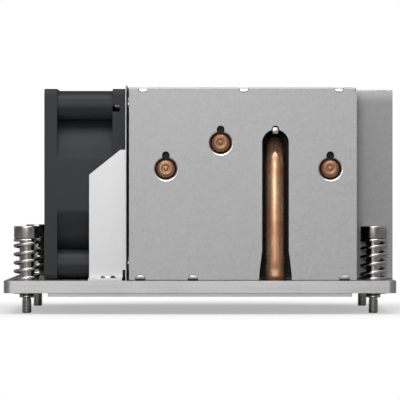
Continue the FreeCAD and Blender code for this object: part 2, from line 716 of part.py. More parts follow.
def stator():
    """Four steel teeth round the bearing tube, and a coil on each."""
    neck, yoke = tooth_neck / 2, tube_radius + tooth_neck / 2
    shoe = core_outside - tooth_shoe
    core = new_body("stator_core")
    pad(Drawing(core, "YZ", core_front).circle(0, 0, 2 * yoke), core_length)
    tooth = Drawing(core, "YZ", core_front)
    tooth.outline([(-neck, tube_radius), (neck, tube_radius), (neck, shoe), (shoe_width / 2, shoe),
                   (shoe_width / 2, core_outside - tooth_shoe / 2), (neck, core_outside - tooth_shoe / 4),
                   (-neck, core_outside - tooth_shoe / 4),
                   (-shoe_width / 2, core_outside - tooth_shoe / 2), (-shoe_width / 2, shoe), (-neck, shoe)])
    around([pad(tooth, core_length)], "X", POLES)
    cut(Drawing(core, "YZ", core_front).circle(0, 0, tube_diameter + 2 * motor_play), core_length)
    place_on_fan(core)
    coils = new_body("stator_coils")
    low, high = yoke + coil_wall / 2, shoe - motor_play
    outside = neck + coil_wall
    wound = pad(Drawing(coils, "YZ", core_front - coil_wall).rectangle(-outside, low, outside, high),
                core_length + 2 * coil_wall)
    middle = cut(Drawing(coils, "YZ", core_front - motor_play).rectangle(
        -neck - motor_play, low - motor_play, neck + motor_play, high + motor_play),
        core_length + 2 * motor_play)
    around([wound, middle], "X", POLES)
    place_on_fan(coils)
    board = new_body("circuit_board")
    board_front = seat_face - yoke_wall - board_thickness
    disc = Drawing(board, "YZ", board_front).circle(0, 0, board_diameter)
    pad(disc.circle(0, 0, tube_diameter + 2 * motor_play), board_thickness)
    place_on_fan(board)


motor()
stator()


# Fan bracket

def fan_bracket():
    """One folded sheet: a back sheet behind the fan, a wing along each side of it and a foot under each wing."""
    body = new_body("fan_bracket")
    half = fan_size / 2 + bracket_play + bracket_sheet
    fins_side = bracket_left + bracket_sheet
    top = plate_top + fan_size + bracket_rise
    wing_left = fins_side - wing_length
    back = Drawing(body, "YZ", bracket_left)
    back.rectangle(-half, plate_top, half, top)
    pad(back, bracket_sheet)
    shoulder, wing_high = plate_top + wing_shoulder, plate_top + wing_top
    for inner, side in ((-half, -1), (half - bracket_sheet, 1)):
        wing = Drawing(body, "XZ", inner)
        wing.outline([(wing_left, plate_top), (fins_side - foot_notch, plate_top),
                      (fins_side - foot_notch, plate_top + 2 * foot_notch),
                      (fins_side, plate_top + 2 * foot_notch), (fins_side, wing_high),
                      (fins_side - wing_flat, wing_high), (wing_left, shoulder)])
        pad(wing, bracket_sheet)
        foot = Drawing(body, "XY", plate_top)
        foot.rectangle(wing_left, side * (half - bracket_sheet),
                       fins_side - foot_notch, side * (half + foot_reach))
        pad(foot, bracket_sheet)
    openings = Drawing(body, "YZ", bracket_left).circle(0, fan_axis, fan_bore)
    for y in (-fan_hole_span / 2, fan_hole_span / 2):
        for z in (fan_axis - fan_hole_span / 2, fan_axis + fan_hole_span / 2):
            openings.circle(y, z, fan_screw + 2 * screw_fit)
    cut(openings, bracket_sheet)
    feet = Drawing(body, "XY", plate_top)
    for y in (-foot_screw_y, foot_screw_y):
        feet.circle(foot_screw_x, y, foot_screw + 2 * screw_fit)
    cut(feet, bracket_sheet)
    return body


fan_bracket()


# Fixed screws: like screws are one part with a solid for each

def fixed_screws(label, plane, axes, start, length, thread, top, head):
    """Screws along a plane's axis: threads from `start`, heads on their ends."""
    body = new_body(label)
    threads, heads = Drawing(body, plane, start), Drawing(body, plane, start + length)
    for across, along_plane in axes:
        threads.circle(across, along_plane, thread)
        heads.circle(across, along_plane, head)
    pad(threads, length)
    pad(heads, top)


def foot_screws():
    seat = plate_top + bracket_sheet
    axes = [(foot_screw_x, side * foot_screw_y) for side in (-1, 1)]
    fixed_screws("foot_screws", "XY", axes, seat - foot_screw_length, foot_screw_length, foot_screw,
                 foot_screw_top, foot_screw_head)


def fan_screws():
    seat = bracket_left + bracket_sheet
    half = fan_hole_span / 2
    axes = [(y, z) for y in (-half, half) for z in (fan_axis - half, fan_axis + half)]
    fixed_screws("fan_screws", "YZ", axes, seat - fan_screw_length, fan_screw_length, fan_screw,
                 fan_screw_top, fan_screw_head)


foot_screws()
fan_screws()


# Captive screws: screw, retaining ring and spring share an origin on the screw's axis, level with the
# underside of the plate's wings

SPRING_STEPS = 12       # flat stretches in a turn of the spring
FLAT_TURN = 0.6         # share of a turn that lies level at each end of the spring


def spring_screw(label):
    shank, thread, head = screw_shank / 2, screw_thread / 2, screw_head / 2
    ring_bottom = -ring_thickness - ring_play
    shank_bottom = ring_bottom - shank_end
    head_bottom = plate_thickness + spring_length
    head_top = head_bottom + head_height
    return turned(label, [
        (0, -screw_reach), (thread - screw_bevel, -screw_reach), (thread, screw_bevel - screw_reach),
        (thread, shank_bottom), (shank, shank_bottom), (shank, ring_bottom), (ring_seat / 2, ring_bottom),
        (ring_seat / 2, ring_play), (shank, ring_play), (shank, head_bottom), (head, head_bottom),
        (head, head_top - screw_bevel), (head - screw_bevel, head_top), (0, head_top)], "Z")


def retaining_ring(label):
    body = new_body(label)
    disc = Drawing(body, "XY", -ring_thickness).circle(0, 0, ring_diameter)
    pad(disc.circle(0, 0, ring_seat + 2 * ring_play), ring_thickness)
    mouth = Drawing(body, "XY", -ring_thickness)
    mouth.rectangle(-ring_mouth / 2, -ring_diameter, ring_mouth / 2, 0)
    cut(mouth, ring_thickness)
    return body


def spring(label):
    """A coil spring with closed ends: a square wire with flat sides, twelve to a turn."""
    outer, wire, turns = spring_outside.number / 2, spring_wire.number, spring_turns.number
    stations = round(turns * SPRING_STEPS)
    sections = []
    for station in range(stations + 1):
        turn = turns * station / stations
        climbed = min(max((turn - FLAT_TURN) / (turns - 2 * FLAT_TURN), 0), 1)
        bottom = climbed * (spring_length.number - wire)
        outward = FreeCAD.Vector(math.cos(math.tau * turn), math.sin(math.tau * turn), 0)
        sections.append([outward * radius + Z * height for radius, height in (
            (outer - wire, bottom), (outer, bottom), (outer, bottom + wire), (outer - wire, bottom + wire))])
    faces = [flat_face(sections[0]), flat_face(sections[-1])]
    for here, ahead in zip(sections, sections[1:]):
        for side in range(4):
            corners = here[side], here[side - 1], ahead[side - 1], ahead[side]
            faces += [flat_face(corners[:3]), flat_face((corners[0],) + corners[2:])]
    feature = doc.addObject("Part::Feature", label)
    feature.Shape = Part.Solid(Part.Shell(faces))
    return feature


def flat_face(corners):
    return Part.Face(Part.makePolygon(list(corners) + [corners[0]]))


for side_y, name_y in ((-1, "near"), (1, "far")):
    for side_x, name_x in ((-1, "left"), (1, "right")):
        corner_name = f"{name_y}_{name_x}"
        screw_x, screw_y = side_x * screw_span_x / 2, side_y * screw_span_y / 2
        place(spring_screw(f"spring_screw_{corner_name}"), screw_x, screw_y, pedestal_height)
        place(retaining_ring(f"retaining_ring_{corner_name}"), screw_x, screw_y, pedestal_height)
        place(spring(f"spring_{corner_name}"), screw_x, screw_y, plate_top)


# Check and write every part

def parts():
    return [thing for thing in doc.Objects if thing.TypeId in ("PartDesign::Body", "Part::Feature")
            and thing.getParentGeoFeatureGroup() is None]


doc.recompute()
for thing in doc.Objects:
    if "Invalid" in thing.State or "Error" in thing.State:
        raise RuntimeError(f"{thing.Label} ({thing.Name}) failed: {thing.getStatusString()}")
os.makedirs("parts", exist_ok=True)
for part in parts():
    if part.Shape.isNull() or not part.Shape.isValid():
        raise RuntimeError(f"{part.Label} has no valid shape")
    part.Shape.exportStep(f"parts/{part.Label}.step")
    print(f"{part.Label}: {len(part.Shape.Solids)} solid(s), {part.Shape.Volume:.1f} mm3")
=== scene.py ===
import math

import bmesh
import bpy
from mathutils import Matrix, Vector


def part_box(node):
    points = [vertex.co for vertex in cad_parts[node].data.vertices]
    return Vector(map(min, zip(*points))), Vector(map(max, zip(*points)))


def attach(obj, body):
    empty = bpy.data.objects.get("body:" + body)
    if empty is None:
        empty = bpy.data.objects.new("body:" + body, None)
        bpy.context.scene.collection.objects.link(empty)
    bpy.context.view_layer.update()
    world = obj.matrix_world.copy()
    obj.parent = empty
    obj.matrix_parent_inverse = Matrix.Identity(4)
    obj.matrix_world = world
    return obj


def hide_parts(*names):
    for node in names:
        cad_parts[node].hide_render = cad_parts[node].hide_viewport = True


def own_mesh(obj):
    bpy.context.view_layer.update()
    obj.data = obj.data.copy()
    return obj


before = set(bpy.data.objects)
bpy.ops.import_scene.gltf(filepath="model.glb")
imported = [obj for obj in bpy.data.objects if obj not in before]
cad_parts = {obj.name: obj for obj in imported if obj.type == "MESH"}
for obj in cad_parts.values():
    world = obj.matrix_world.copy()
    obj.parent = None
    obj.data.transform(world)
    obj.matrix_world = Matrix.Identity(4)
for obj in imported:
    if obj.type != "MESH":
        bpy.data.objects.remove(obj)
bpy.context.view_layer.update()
print("frame loaded")

mm = 0.001
joinWithin = 0.0001        # drawn points nearer to each other than this, in millimetres, are one
corners = ["near_left", "near_right", "far_left", "far_right"]


def boxOf(node):        # lowest and highest corner of a frame part, in millimetres
    low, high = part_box(node)
    return low / mm, high / mm


def paint(red, green, blue):        # a colour as a picture editor gives it, turned linear
    return tuple(((c / 255 + 0.055) / 1.055) ** 2.4 if c > 10 else c / 255 / 12.92
                 for c in (red, green, blue)) + (1.0,)


def scaled(colour, factor):        # the same colour, darker or lighter
    return tuple(min(c * factor, 1.0) for c in colour[:3]) + (1.0,)


class Wire:        # one socket, so that shader maths can be written as a sum
    def __init__(self, recipe, socket):
        self.recipe, self.socket = recipe, socket

    def sum(self, operation, first, second):
        return self.recipe.node("Math", {"operation": operation}, {0: first, 1: second})

    def __add__(self, other): return self.sum("ADD", self, other)
    def __radd__(self, other): return self.sum("ADD", other, self)
    def __sub__(self, other): return self.sum("SUBTRACT", self, other)
    def __rsub__(self, other): return self.sum("SUBTRACT", other, self)
    def __mul__(self, other): return self.sum("MULTIPLY", self, other)
    def __rmul__(self, other): return self.sum("MULTIPLY", other, self)


class NodeMaker:        # adds nodes to the tree of a material or of the world
    def __init__(self, tree):
        self.tree = tree

    def feed(self, socket, value):
        if isinstance(value, Wire):
            self.tree.links.new(value.socket, socket)
        else:
            socket.default_value = value

    def node(self, kind, settings, sockets, output=0):
        made = self.tree.nodes.new("ShaderNode" + kind)
        for setting, value in settings.items():
            setattr(made, setting, value)
        for socket, value in sockets.items():
            self.feed(made.inputs[socket], value)
        return Wire(self, made.outputs[output])

    def seenDirectly(self):        # 1 for what the camera sees, straight or in metal or glass
        straight, mirrored, through = [self.node("LightPath", {}, {}, f"Is {kind} Ray")
                                       for kind in ("Camera", "Glossy", "Transmission")]
        return straight + mirrored + through

    def band(self, value, low, high, start=0.0, end=1.0):        # low..high carried to start..end
        return self.node("MapRange", {"interpolation_type": "SMOOTHSTEP"},
                         {0: value, 1: low, 2: high, 3: start, 4: end})

    def mix(self, factor, first, second):
        return self.node("Mix", {"data_type": "RGBA"}, {0: factor, 6: first, 7: second}, 2)


class Recipe(NodeMaker):        # a material and the nodes added to it
    def __init__(self, name, **fixed):
        self.material = bpy.data.materials.new(name)
        self.material.use_nodes = True
        super().__init__(self.material.node_tree)
        self.shader = self.tree.nodes["Principled BSDF"]
        for socket, value in fixed.items():
            self.shader.inputs[socket.replace("_", " ")].default_value = value
        self.place = self.node("TexCoord", {}, {}, "Object")

    def stretched(self, x, y, z):
        return self.node("VectorMath", {"operation": "MULTIPLY"}, {0: self.place, 1: (x, y, z)})

    def along(self, axis):
        return self.node("SeparateXYZ", {}, {0: self.place}, axis)

    def noise(self, scale, detail=3.0, roughness=0.55, where=None):
        return self.node("TexNoise", {}, {"Vector": where or self.place, "Scale": scale,
                                          "Detail": detail, "Roughness": roughness}, "Fac")

    def relief(self, height, strength, distance):
        self.set("Normal", self.node("Bump", {}, {"Height": height, "Strength": strength,
                                                  "Distance": distance}, "Normal"))

    def set(self, socket, value):
        self.feed(self.shader.inputs[socket], value)


rolling = {"streaks": 700, "clouds": 45, "specks": 1500, "darker": 0.92, "lighter": 1.08,
           "shade": 0.05, "shadeMost": 0.97, "shadeEdge": 0.0005, "paintedTopLight": 1.5,
           "cloudRough": 0.10, "speckRough": 0.12, "relief": 0.07, "reliefDeep": 0.00006}


def rolledSheet(name, colour, rough, grain=1.0, channels=None, rim=None):
    # matte aluminium sheet, rolled along X; channels is (low, high) where the webs stand in each
    # other's shade, painted in as painted shade, and rim is (low, high) where a web is painted
    # lighter towards its top edge, a painted highlight
    recipe = Recipe(name, Metallic=1.0)
    streak = recipe.noise(rolling["streaks"], 3, 0.6, recipe.stretched(0.35, 1, 1))
    cloud = recipe.noise(rolling["clouds"])
    speck = recipe.noise(rolling["specks"], 3, 0.7)
    mottle = recipe.band(streak * 0.2 + cloud * 0.2 + speck * 0.6, 0.36, 0.64)
    tone = recipe.mix(mottle, scaled(colour, rolling["darker"]), scaled(colour, rolling["lighter"]))
    height = recipe.along("Z")
    if channels:
        edge = rolling["shadeEdge"]
        inside = recipe.band(height, channels[0], channels[0] + edge) * \
            recipe.band(height, channels[1] - edge, channels[1], 1.0, 0.0)
        # painted shade: the webs between the flanges go nearly black
        tone = recipe.mix(inside * rolling["shadeMost"], tone, scaled(colour, rolling["shade"]))
    if rim:
        # painted highlight: a lighter band along the top of each web
        tone = recipe.mix(recipe.band(height, *rim), tone, scaled(colour, rolling["paintedTopLight"]))
    recipe.set("Base Color", tone)
    recipe.set("Roughness", rough + (cloud - 0.5) * rolling["cloudRough"] +
               (speck - 0.5) * rolling["speckRough"])
    recipe.relief(streak * 0.4 + speck * 0.6, rolling["relief"] * grain, rolling["reliefDeep"])
    return recipe.material


milling = {"lines": 1500, "clouds": 60, "marks": 260, "darker": 0.87, "lineRough": 0.16,
           "markRough": 0.08, "relief": 0.14, "reliefDeep": 0.00005}


def machinedPlate(name, colour, rough):        # milled aluminium: tool lines and handling marks
    recipe = Recipe(name, Metallic=1.0)
    lines = recipe.noise(milling["lines"], 3, 0.5, recipe.stretched(0.03, 1, 1))
    cloud = recipe.noise(milling["clouds"])
    marks = recipe.band(recipe.noise(milling["marks"], 5, 0.7), 0.62, 0.70)
    mottle = recipe.band(lines * 0.55 + cloud * 0.45, 0.38, 0.62)
    recipe.set("Base Color", recipe.mix(mottle, scaled(colour, milling["darker"]), colour))
    recipe.set("Roughness", rough + (lines - 0.5) * milling["lineRough"] +
               marks * milling["markRough"])
    recipe.relief(lines - marks * 0.2, milling["relief"], milling["reliefDeep"])
    return recipe.material


tube = {"fresh": paint(250, 200, 160), "tarnished": paint(226, 168, 126),
        "dark": paint(170, 114, 78), "darkMost": 0.35, "metallic": 0.62, "rough": 0.24,
        "ends": paint(104, 68, 46), "endsFrom": 0.0376, "endsFull": 0.0384, "endsMost": 0.75,
        "drawing": 1400, "patches": 120, "pits": 1800, "relief": 0.18, "reliefDeep": 0.00005}


def bareCopper(name):        # drawn copper tube, tarnished in patches, its crimped ends duller
    recipe = Recipe(name, Metallic=tube["metallic"])
    drawn = recipe.noise(tube["drawing"], 3, 0.6, recipe.stretched(1, 0.25, 0.12))
    patches = recipe.band(recipe.noise(tube["patches"], 4, 0.6), 0.42, 0.62)
    pits = recipe.band(recipe.noise(tube["pits"], 2, 0.6), 0.60, 0.72)
    tone = recipe.mix(patches, tube["fresh"], tube["tarnished"])
    tone = recipe.mix(recipe.band(drawn, 0.35, 0.7, 0.0, tube["darkMost"]), tone, tube["dark"])
    across = recipe.along("Y")
    crimped = recipe.band(across * across, tube["endsFrom"] ** 2, tube["endsFull"] ** 2)
    recipe.set("Base Color", recipe.mix(crimped * tube["endsMost"], tone, tube["ends"]))
    recipe.set("Roughness", tube["rough"] + patches * 0.08 + pits * 0.15 +
               (drawn - 0.5) * 0.1 + crimped * 0.1)
    recipe.relief(drawn - pits * 0.4, tube["relief"], tube["reliefDeep"])
    return recipe.material


moulding = {"grain": 1500, "clouds": 50, "lighter": 1.35, "grainRough": 0.22, "cloudRough": 0.08,
            "sheen": 0.22, "relief": 0.22, "reliefDeep": 0.00008}


def mouldedPlastic(name, colour, rough, grainSize=moulding["grain"]):
    # glass-filled plastic with a spark-eroded grain
    recipe = Recipe(name, IOR=1.5, Specular_IOR_Level=moulding["sheen"])
    grain = recipe.noise(grainSize, 3, 0.6)
    cloud = recipe.noise(moulding["clouds"], 2)
    mottle = recipe.band(grain * 0.5 + cloud * 0.5, 0.35, 0.68)
    recipe.set("Base Color", recipe.mix(mottle, colour, scaled(colour, moulding["lighter"])))
    recipe.set("Roughness", rough + (grain - 0.5) * moulding["grainRough"] +
               (cloud - 0.5) * moulding["cloudRough"])
    recipe.relief(grain, moulding["relief"], moulding["reliefDeep"])
    return recipe.material


plating = {"grain": 1700, "clouds": 150, "dull": 700, "darker": 0.80, "dullRough": 0.10,
           "grainRough": 0.10, "relief": 0.10, "reliefDeep": 0.00005}


def platedSteel(name, colour, rough, relief=plating["relief"]):        # nickel or zinc over steel
    recipe = Recipe(name, Metallic=1.0)
    grain = recipe.noise(plating["grain"], 3, 0.6)
    cloud = recipe.noise(plating["clouds"])
    dull = recipe.band(recipe.noise(plating["dull"], 4, 0.65), 0.55, 0.72)
    mottle = recipe.band(cloud * 0.6 + grain * 0.4, 0.36, 0.62)
    recipe.set("Base Color", recipe.mix(mottle, scaled(colour, plating["darker"]), colour))
    recipe.set("Roughness", rough + dull * plating["dullRough"] +
               (grain - 0.5) * plating["grainRough"])
    recipe.relief(grain - dull * 0.3, relief, plating["reliefDeep"])
    return recipe.material


coating = {"clouds": 90, "specks": 1400, "darker": 0.95, "unevenRough": 0.06, "relief": 0.03,
           "reliefDeep": 0.00004}


def coatedSheet(name, colour, rough):        # smooth zinc coat, all but even
    recipe = Recipe(name, Metallic=1.0)
    cloud = recipe.noise(coating["clouds"])
    speck = recipe.noise(coating["specks"], 3, 0.6)
    mottle = recipe.band(cloud * 0.6 + speck * 0.4, 0.36, 0.64)
    recipe.set("Base Color", recipe.mix(mottle, scaled(colour, coating["darker"]), colour))
    recipe.set("Roughness", rough + (cloud - 0.5) * coating["unevenRough"] +
               (speck - 0.5) * coating["unevenRough"])
    recipe.relief(speck, coating["relief"], coating["reliefDeep"])
    return recipe.material


winding = {"rows": 700.0, "ripple": 0.4, "tones": 300, "metallic": 0.85, "darker": 0.45,
           "rough": 0.24, "toneRough": 0.14, "relief": 0.6, "reliefDeep": 0.0001}


def windings(name, colour):        # enamelled wire, seen as close rows round each pole
    recipe = Recipe(name, Metallic=winding["metallic"])
    rows = recipe.node("TexWave", {"wave_type": "BANDS", "bands_direction": "X"},
                       {"Vector": recipe.place, "Scale": winding["rows"],
                        "Distortion": winding["ripple"]}, "Fac")
    tone = recipe.noise(winding["tones"])
    recipe.set("Base Color", recipe.mix(rows * 0.7 + tone * 0.3,
                                        scaled(colour, winding["darker"]), colour))
    recipe.set("Roughness", winding["rough"] + tone * winding["toneRough"])
    recipe.relief(rows, winding["relief"], winding["reliefDeep"])
    return recipe.material


lacquer = {"tracks": 260.0, "trackEdge": (0.05, 0.09), "clouds": 220, "lighter": 1.8,
           "rough": 0.30, "cloudRough": 0.2, "relief": 0.3, "reliefDeep": 0.00004}


def solderMask(name, colour):        # lacquered laminate, with faint tracks beneath the lacquer
    recipe = Recipe(name, IOR=1.5)
    cells = recipe.node("TexVoronoi", {"feature": "DISTANCE_TO_EDGE", "distance": "MANHATTAN"},
                        {"Vector": recipe.place, "Scale": lacquer["tracks"]}, "Distance")
    between = recipe.band(cells, *lacquer["trackEdge"])
    cloud = recipe.noise(lacquer["clouds"])
    recipe.set("Base Color", recipe.mix(between, scaled(colour, lacquer["lighter"]), colour))
    recipe.set("Roughness", lacquer["rough"] + (cloud - 0.5) * lacquer["cloudRough"])
    recipe.relief(between, lacquer["relief"], lacquer["reliefDeep"])
    return recipe.material


coverLow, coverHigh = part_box("near_cover_fin")
# long fins: a darker copy of the cover sheet as painted shade, with a lighter band along their top
# edge as a painted highlight
shadedLongFinSheet = rolledSheet("matte fin sheet", paint(140, 140, 140), 0.50, 1.0, None,
                       (coverHigh.z - 0.0045, coverHigh.z - 0.0004))
# fins between the covers: their webs are painted nearly black between the flanges, a painted shade
shadeDarkenedSheet = rolledSheet("fin sheet between the covers", paint(150, 150, 150), 0.50, 1.0,
                        (coverLow.z + 0.0002, coverHigh.z - 0.0003))
coverSheet = rolledSheet("cover fin sheet", paint(168, 168, 168), 0.54)
# drawn collars: paler than the fin sheet they are drawn from, a painted highlight
highlightedCollarSheet = rolledSheet("drawn collar", paint(232, 232, 232), 0.22, 0.3)
# lock tongues: paler than the fin sheet they are cut from, a painted highlight
highlightedTongueSheet = rolledSheet("lock tongue", paint(214, 210, 208), 0.36, 0.3)
milled = machinedPlate("milled plate", paint(186, 185, 185), 0.46)
copper = bareCopper("heat pipe copper")
zincSheet = coatedSheet("zinc plated sheet", paint(186, 186, 187), 0.42)
fanPlastic = mouldedPlastic("fan frame plastic", paint(42, 43, 45), 0.46)
bladePlastic = mouldedPlastic("blade plastic", paint(38, 38, 40), 0.38, 2200)
nickelSteel = platedSteel("nickel plated screw", paint(186, 184, 180), 0.15)
springNickel = platedSteel("nickel plated spring wire", paint(200, 197, 193), 0.12)
darkRing = platedSteel("dark spring steel", paint(120, 118, 114), 0.34)
motorSteel = platedSteel("motor steel", paint(150, 150, 152), 0.32)
ferrite = mouldedPlastic("bonded ferrite", paint(38, 38, 40), 0.62)
turnedBrass = platedSteel("turned brass", paint(214, 184, 116), 0.26)
sinteredBronze = platedSteel("sintered bronze", paint(176, 132, 88), 0.46, relief=0.5)
coilWire = windings("coil wire", paint(206, 120, 66))
boardGreen = solderMask("board lacquer", paint(22, 74, 42))
print("materials made")


def newObject(name, data):
    made = bpy.data.objects.new(name, data)
    bpy.context.scene.collection.objects.link(made)
    return made


def addPiece(name, mesh, finish, body, nodes=(), sharp=35):
    mesh.name = name
    mesh.materials.clear()
    mesh.materials.append(finish)
    mesh.polygons.foreach_set("use_smooth", [True] * len(mesh.polygons))
    mesh.set_sharp_from_angle(angle=math.radians(sharp))
    piece = newObject(name, mesh)
    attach(piece, body)
    if nodes:
        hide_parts(*nodes)
    return piece


def meshOf(shape):        # finish a bmesh drawn in millimetres
    bmesh.ops.remove_doubles(shape, verts=shape.verts, dist=joinWithin)
    bmesh.ops.recalc_face_normals(shape, faces=shape.faces)
    shape.transform(Matrix.Scale(mm, 4))
    mesh = bpy.data.meshes.new("shape")
    shape.to_mesh(mesh)
    shape.free()
    return mesh


def loft(shape, rings, capEnd=True):        # skin closed rings of points, each one to the next
    rows = [[shape.verts.new(point) for point in ring] for ring in rings]
    for here, ahead in zip(rows, rows[1:]):
        for side in range(len(here)):
            after = (side + 1) % len(here)
            shape.faces.new((here[side], here[after], ahead[after], ahead[side]))
    shape.faces.new(rows[0][::-1])
    if capEnd:
        shape.faces.new(rows[-1])


def turn(shape, profile, place, steps, start=0.0, sweep=math.tau):
    # spin (radius, height) points about the local Z of place; points at radius 0 close the ends
    whole = abs(sweep - math.tau) < 1e-6
    angles = [start + sweep * step / steps for step in range(steps if whole else steps + 1)]
    rows = []
    for radius, height in profile:
        if radius < 1e-6:
            rows.append([shape.verts.new(place @ Vector((0, 0, height)))])
        else:
            rows.append([shape.verts.new(place @ Vector((radius * math.cos(a),
                                                         radius * math.sin(a), height)))
                         for a in angles])
    for here, ahead in zip(rows, rows[1:]):
        for step in range(len(angles) if whole else len(angles) - 1):
            after = (step + 1) % len(angles)
            ends = [here[step % len(here)], here[after % len(here)],
                    ahead[after % len(ahead)], ahead[step % len(ahead)]]
            ends = [v for n, v in enumerate(ends) if v not in ends[:n]]
            if len(ends) > 2:
                shape.faces.new(ends)


def rounded(profile, radius, steps=3):        # round off the corners of a turned profile
    softened = [profile[0]]
    for before, corner, after in zip(profile, profile[1:], profile[2:]):
        point, back, ahead = Vector(corner), Vector(before), Vector(after)
        reach = min(radius, (back - point).length * 0.45, (ahead - point).length * 0.45)
        first = point + (back - point).normalized() * reach
        last = point + (ahead - point).normalized() * reach
        for step in range(steps + 1):
            t = step / steps
            softened.append(tuple(first * (1 - t) ** 2 + point * 2 * t * (1 - t) + last * t ** 2))
    return softened + [profile[-1]]


def circle(x, y, radius, steps, start=0.0, sweep=math.tau):
    count = steps if abs(sweep - math.tau) < 1e-6 else steps + 1
    angles = [start + sweep * n / steps for n in range(count)]
    return [(x + radius * math.cos(a), y + radius * math.sin(a)) for a in angles]


def flatSheet(outlines, thickness, place):
    # a sheet with holes, from outlines in its own plane; it lies at 0 to thickness along local Z
    drawing = bpy.data.curves.new("outline", "CURVE")
    drawing.dimensions, drawing.fill_mode = "2D", "BOTH"
    drawing.extrude = thickness / 2
    for outline in outlines:
        spline = drawing.splines.new("POLY")
        spline.points.add(len(outline) - 1)
        for point, (x, y) in zip(spline.points, outline):
            point.co = (x, y, 0, 1)
        spline.use_cyclic_u = True
    holder = bpy.data.objects.new("outline", drawing)
    mesh = bpy.data.meshes.new_from_object(holder)
    bpy.data.objects.remove(holder)
    mesh.transform(place @ Matrix.Translation((0, 0, thickness / 2)))
    return mesh


def addMesh(shape, mesh):
    shape.from_mesh(mesh)
    bpy.data.meshes.remove(mesh)


easing = {"join": 0.0005, "flatWithin": 0.6, "steps": 2, "foldSteps": 5}


def eased(node, width, limit=28, fold=None, foldRadius=0.0):
    # a frame part's own shape with its sharp edges eased, and its folds rounded further
    shape = bmesh.new()
    shape.from_mesh(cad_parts[node].data)
    shape.transform(Matrix.Scale(1 / mm, 4))
    bmesh.ops.remove_doubles(shape, verts=shape.verts, dist=easing["join"])
    bmesh.ops.dissolve_limit(shape, angle_limit=math.radians(easing["flatWithin"]),
                             verts=shape.verts, edges=shape.edges)

    def bevel(edges, offset, steps):
        bmesh.ops.bevel(shape, geom=edges, offset=offset, segments=steps, profile=0.5,
                        affect="EDGES", clamp_overlap=True)

    if fold:
        folds = [edge for edge in shape.edges if all(fold(vertex.co) for vertex in edge.verts)]
        bevel(folds, foldRadius, easing["foldSteps"])
    bevel([edge for edge in shape.edges if len(edge.link_faces) == 2
           and edge.calc_face_angle(0) > math.radians(limit)], width, easing["steps"])
    return meshOf(shape)


def keepFlatsFlat(piece):        # shading follows the large faces, and only the eased edges turn
    piece.modifiers.new("flats first", "WEIGHTED_NORMAL").keep_sharp = True


# a drawing in XY stood up in XZ, and a turned piece's own Z laid along X
standing = Matrix(((1, 0, 0, 0), (0, 0, -1, 0), (0, 1, 0, 0), (0, 0, 0, 1)))
alongX = Matrix(((0, 0, 1, 0), (1, 0, 0, 0), (0, 1, 0, 0), (0, 0, 0, 1)))
plate = {"easing": 0.18}


def makePlate():
    keepFlatsFlat(addPiece("milledPlate", eased("base_plate", plate["easing"]), milled,
                           "heatsink", ["base_plate"]))


fins = {"sheet": 0.4, "bend": 0.45, "pitch": 2.4, "depth": 2.36, "corner": 1.4, "coverSteps": 36,
        "innerSteps": 16, "pipeHole": 3.06, "collar": 3.85, "throat": 3.4, "collarDeep": 2.0,
        "keyHalf": 1.2, "keyTop": 5.4, "slotHalf": 4.15, "slotFoot": 5.1, "slotKnee": (5.0, 2.0),
        "slotFlare": 9.0, "topNotch": (1.5, 1.05), "footNotch": (1.65, 1.5),
        "topNotches": [-17.6, 13.6, 43.1], "footNotches": [-18.5, -2.2, 44.8],
        "lastNotch": 57.3, "lastHalf": 1.3, "tabBelow": 0.05, "firstTabNarrower": 0.35}
# x, height over the fins' foot, side of the riser
pipeCentres = [(-10.6, 34.8, 1), (6.4, 42.8, 1), (23.4, 42.8, -1), (40.4, 34.8, 1)]


def keyhole(x, z, radius, steps):        # a round hole with a narrow round-topped slot over it
    half, top = fins["keyHalf"], fins["keyTop"]
    opening = math.asin(half / radius)
    around = circle(x, z, radius, steps, math.pi / 2 + opening, math.tau - 2 * opening)
    return around + circle(x, z + top - half, half, max(steps // 4, 4), 0.0, math.pi)


def slotOutline(x, low, z, steps, keyed):        # from the left foot, over the arch, to the right
    half, foot, key = fins["slotHalf"], fins["slotFoot"], fins["keyHalf"]
    out, up = fins["slotKnee"]
    left = [(x - foot, low), (x - out, low + up), (x - half, low + fins["slotFlare"])]
    if keyed:
        opening = math.asin(key / half)
        arch = circle(x, z, half, steps // 2, math.pi, opening - math.pi / 2)
        arch += circle(x, z + fins["keyTop"] - key, key, steps // 4, math.pi, -math.pi)
        arch += circle(x, z, half, steps // 2, math.pi / 2 - opening, opening - math.pi / 2)
    else:
        arch = circle(x, z, half, steps, math.pi, -math.pi)
    return left + arch + [(2 * x - px, pz) for px, pz in reversed(left)]


def notchOutline(x, z, up, steps):        # a half-oval bite out of the top or foot edge
    half, deep = fins["topNotch" if up else "footNotch"]
    oval = circle(0, 0, 1.0, steps, 0.0 if up else math.pi, -math.pi)
    return [(x + half * px, z + deep * pz) for px, pz in oval]


def tabOutline(x, z, top, half):        # the upright tab in a gap between a web's flanges
    return [(x + half, z), (x + half, top), (x - half, top), (x - half, z)]


def bentFlange(shape, x0, x1, y, z, up):        # the flange folded off a web's edge, towards +Y
    bend, sheet, depth = fins["bend"], fins["sheet"], fins["depth"]
    sign = 1 if up else -1

    def fold(radius, steps):        # a quarter turn, from the web to the flange
        angles = [math.pi / 2 * n / steps for n in range(steps + 1)]
        return [(bend - radius * math.cos(a), radius * math.sin(a) - bend) for a in angles]

    section = fold(bend, 6) + [(depth, 0), (depth, -sheet)] + fold(bend - sheet, 4)[::-1]
    loft(shape, [[(x, y + dy, z + sign * dz) for dy, dz in section] for x in (x0, x1)])


def spans(start, end, gaps):        # what is left of start..end between the gaps
    left = []
    for low, high in sorted(gaps):
        if low > start:
            left.append((start, low))
        start = max(start, high)
    return left + ([(start, end)] if end > start else [])


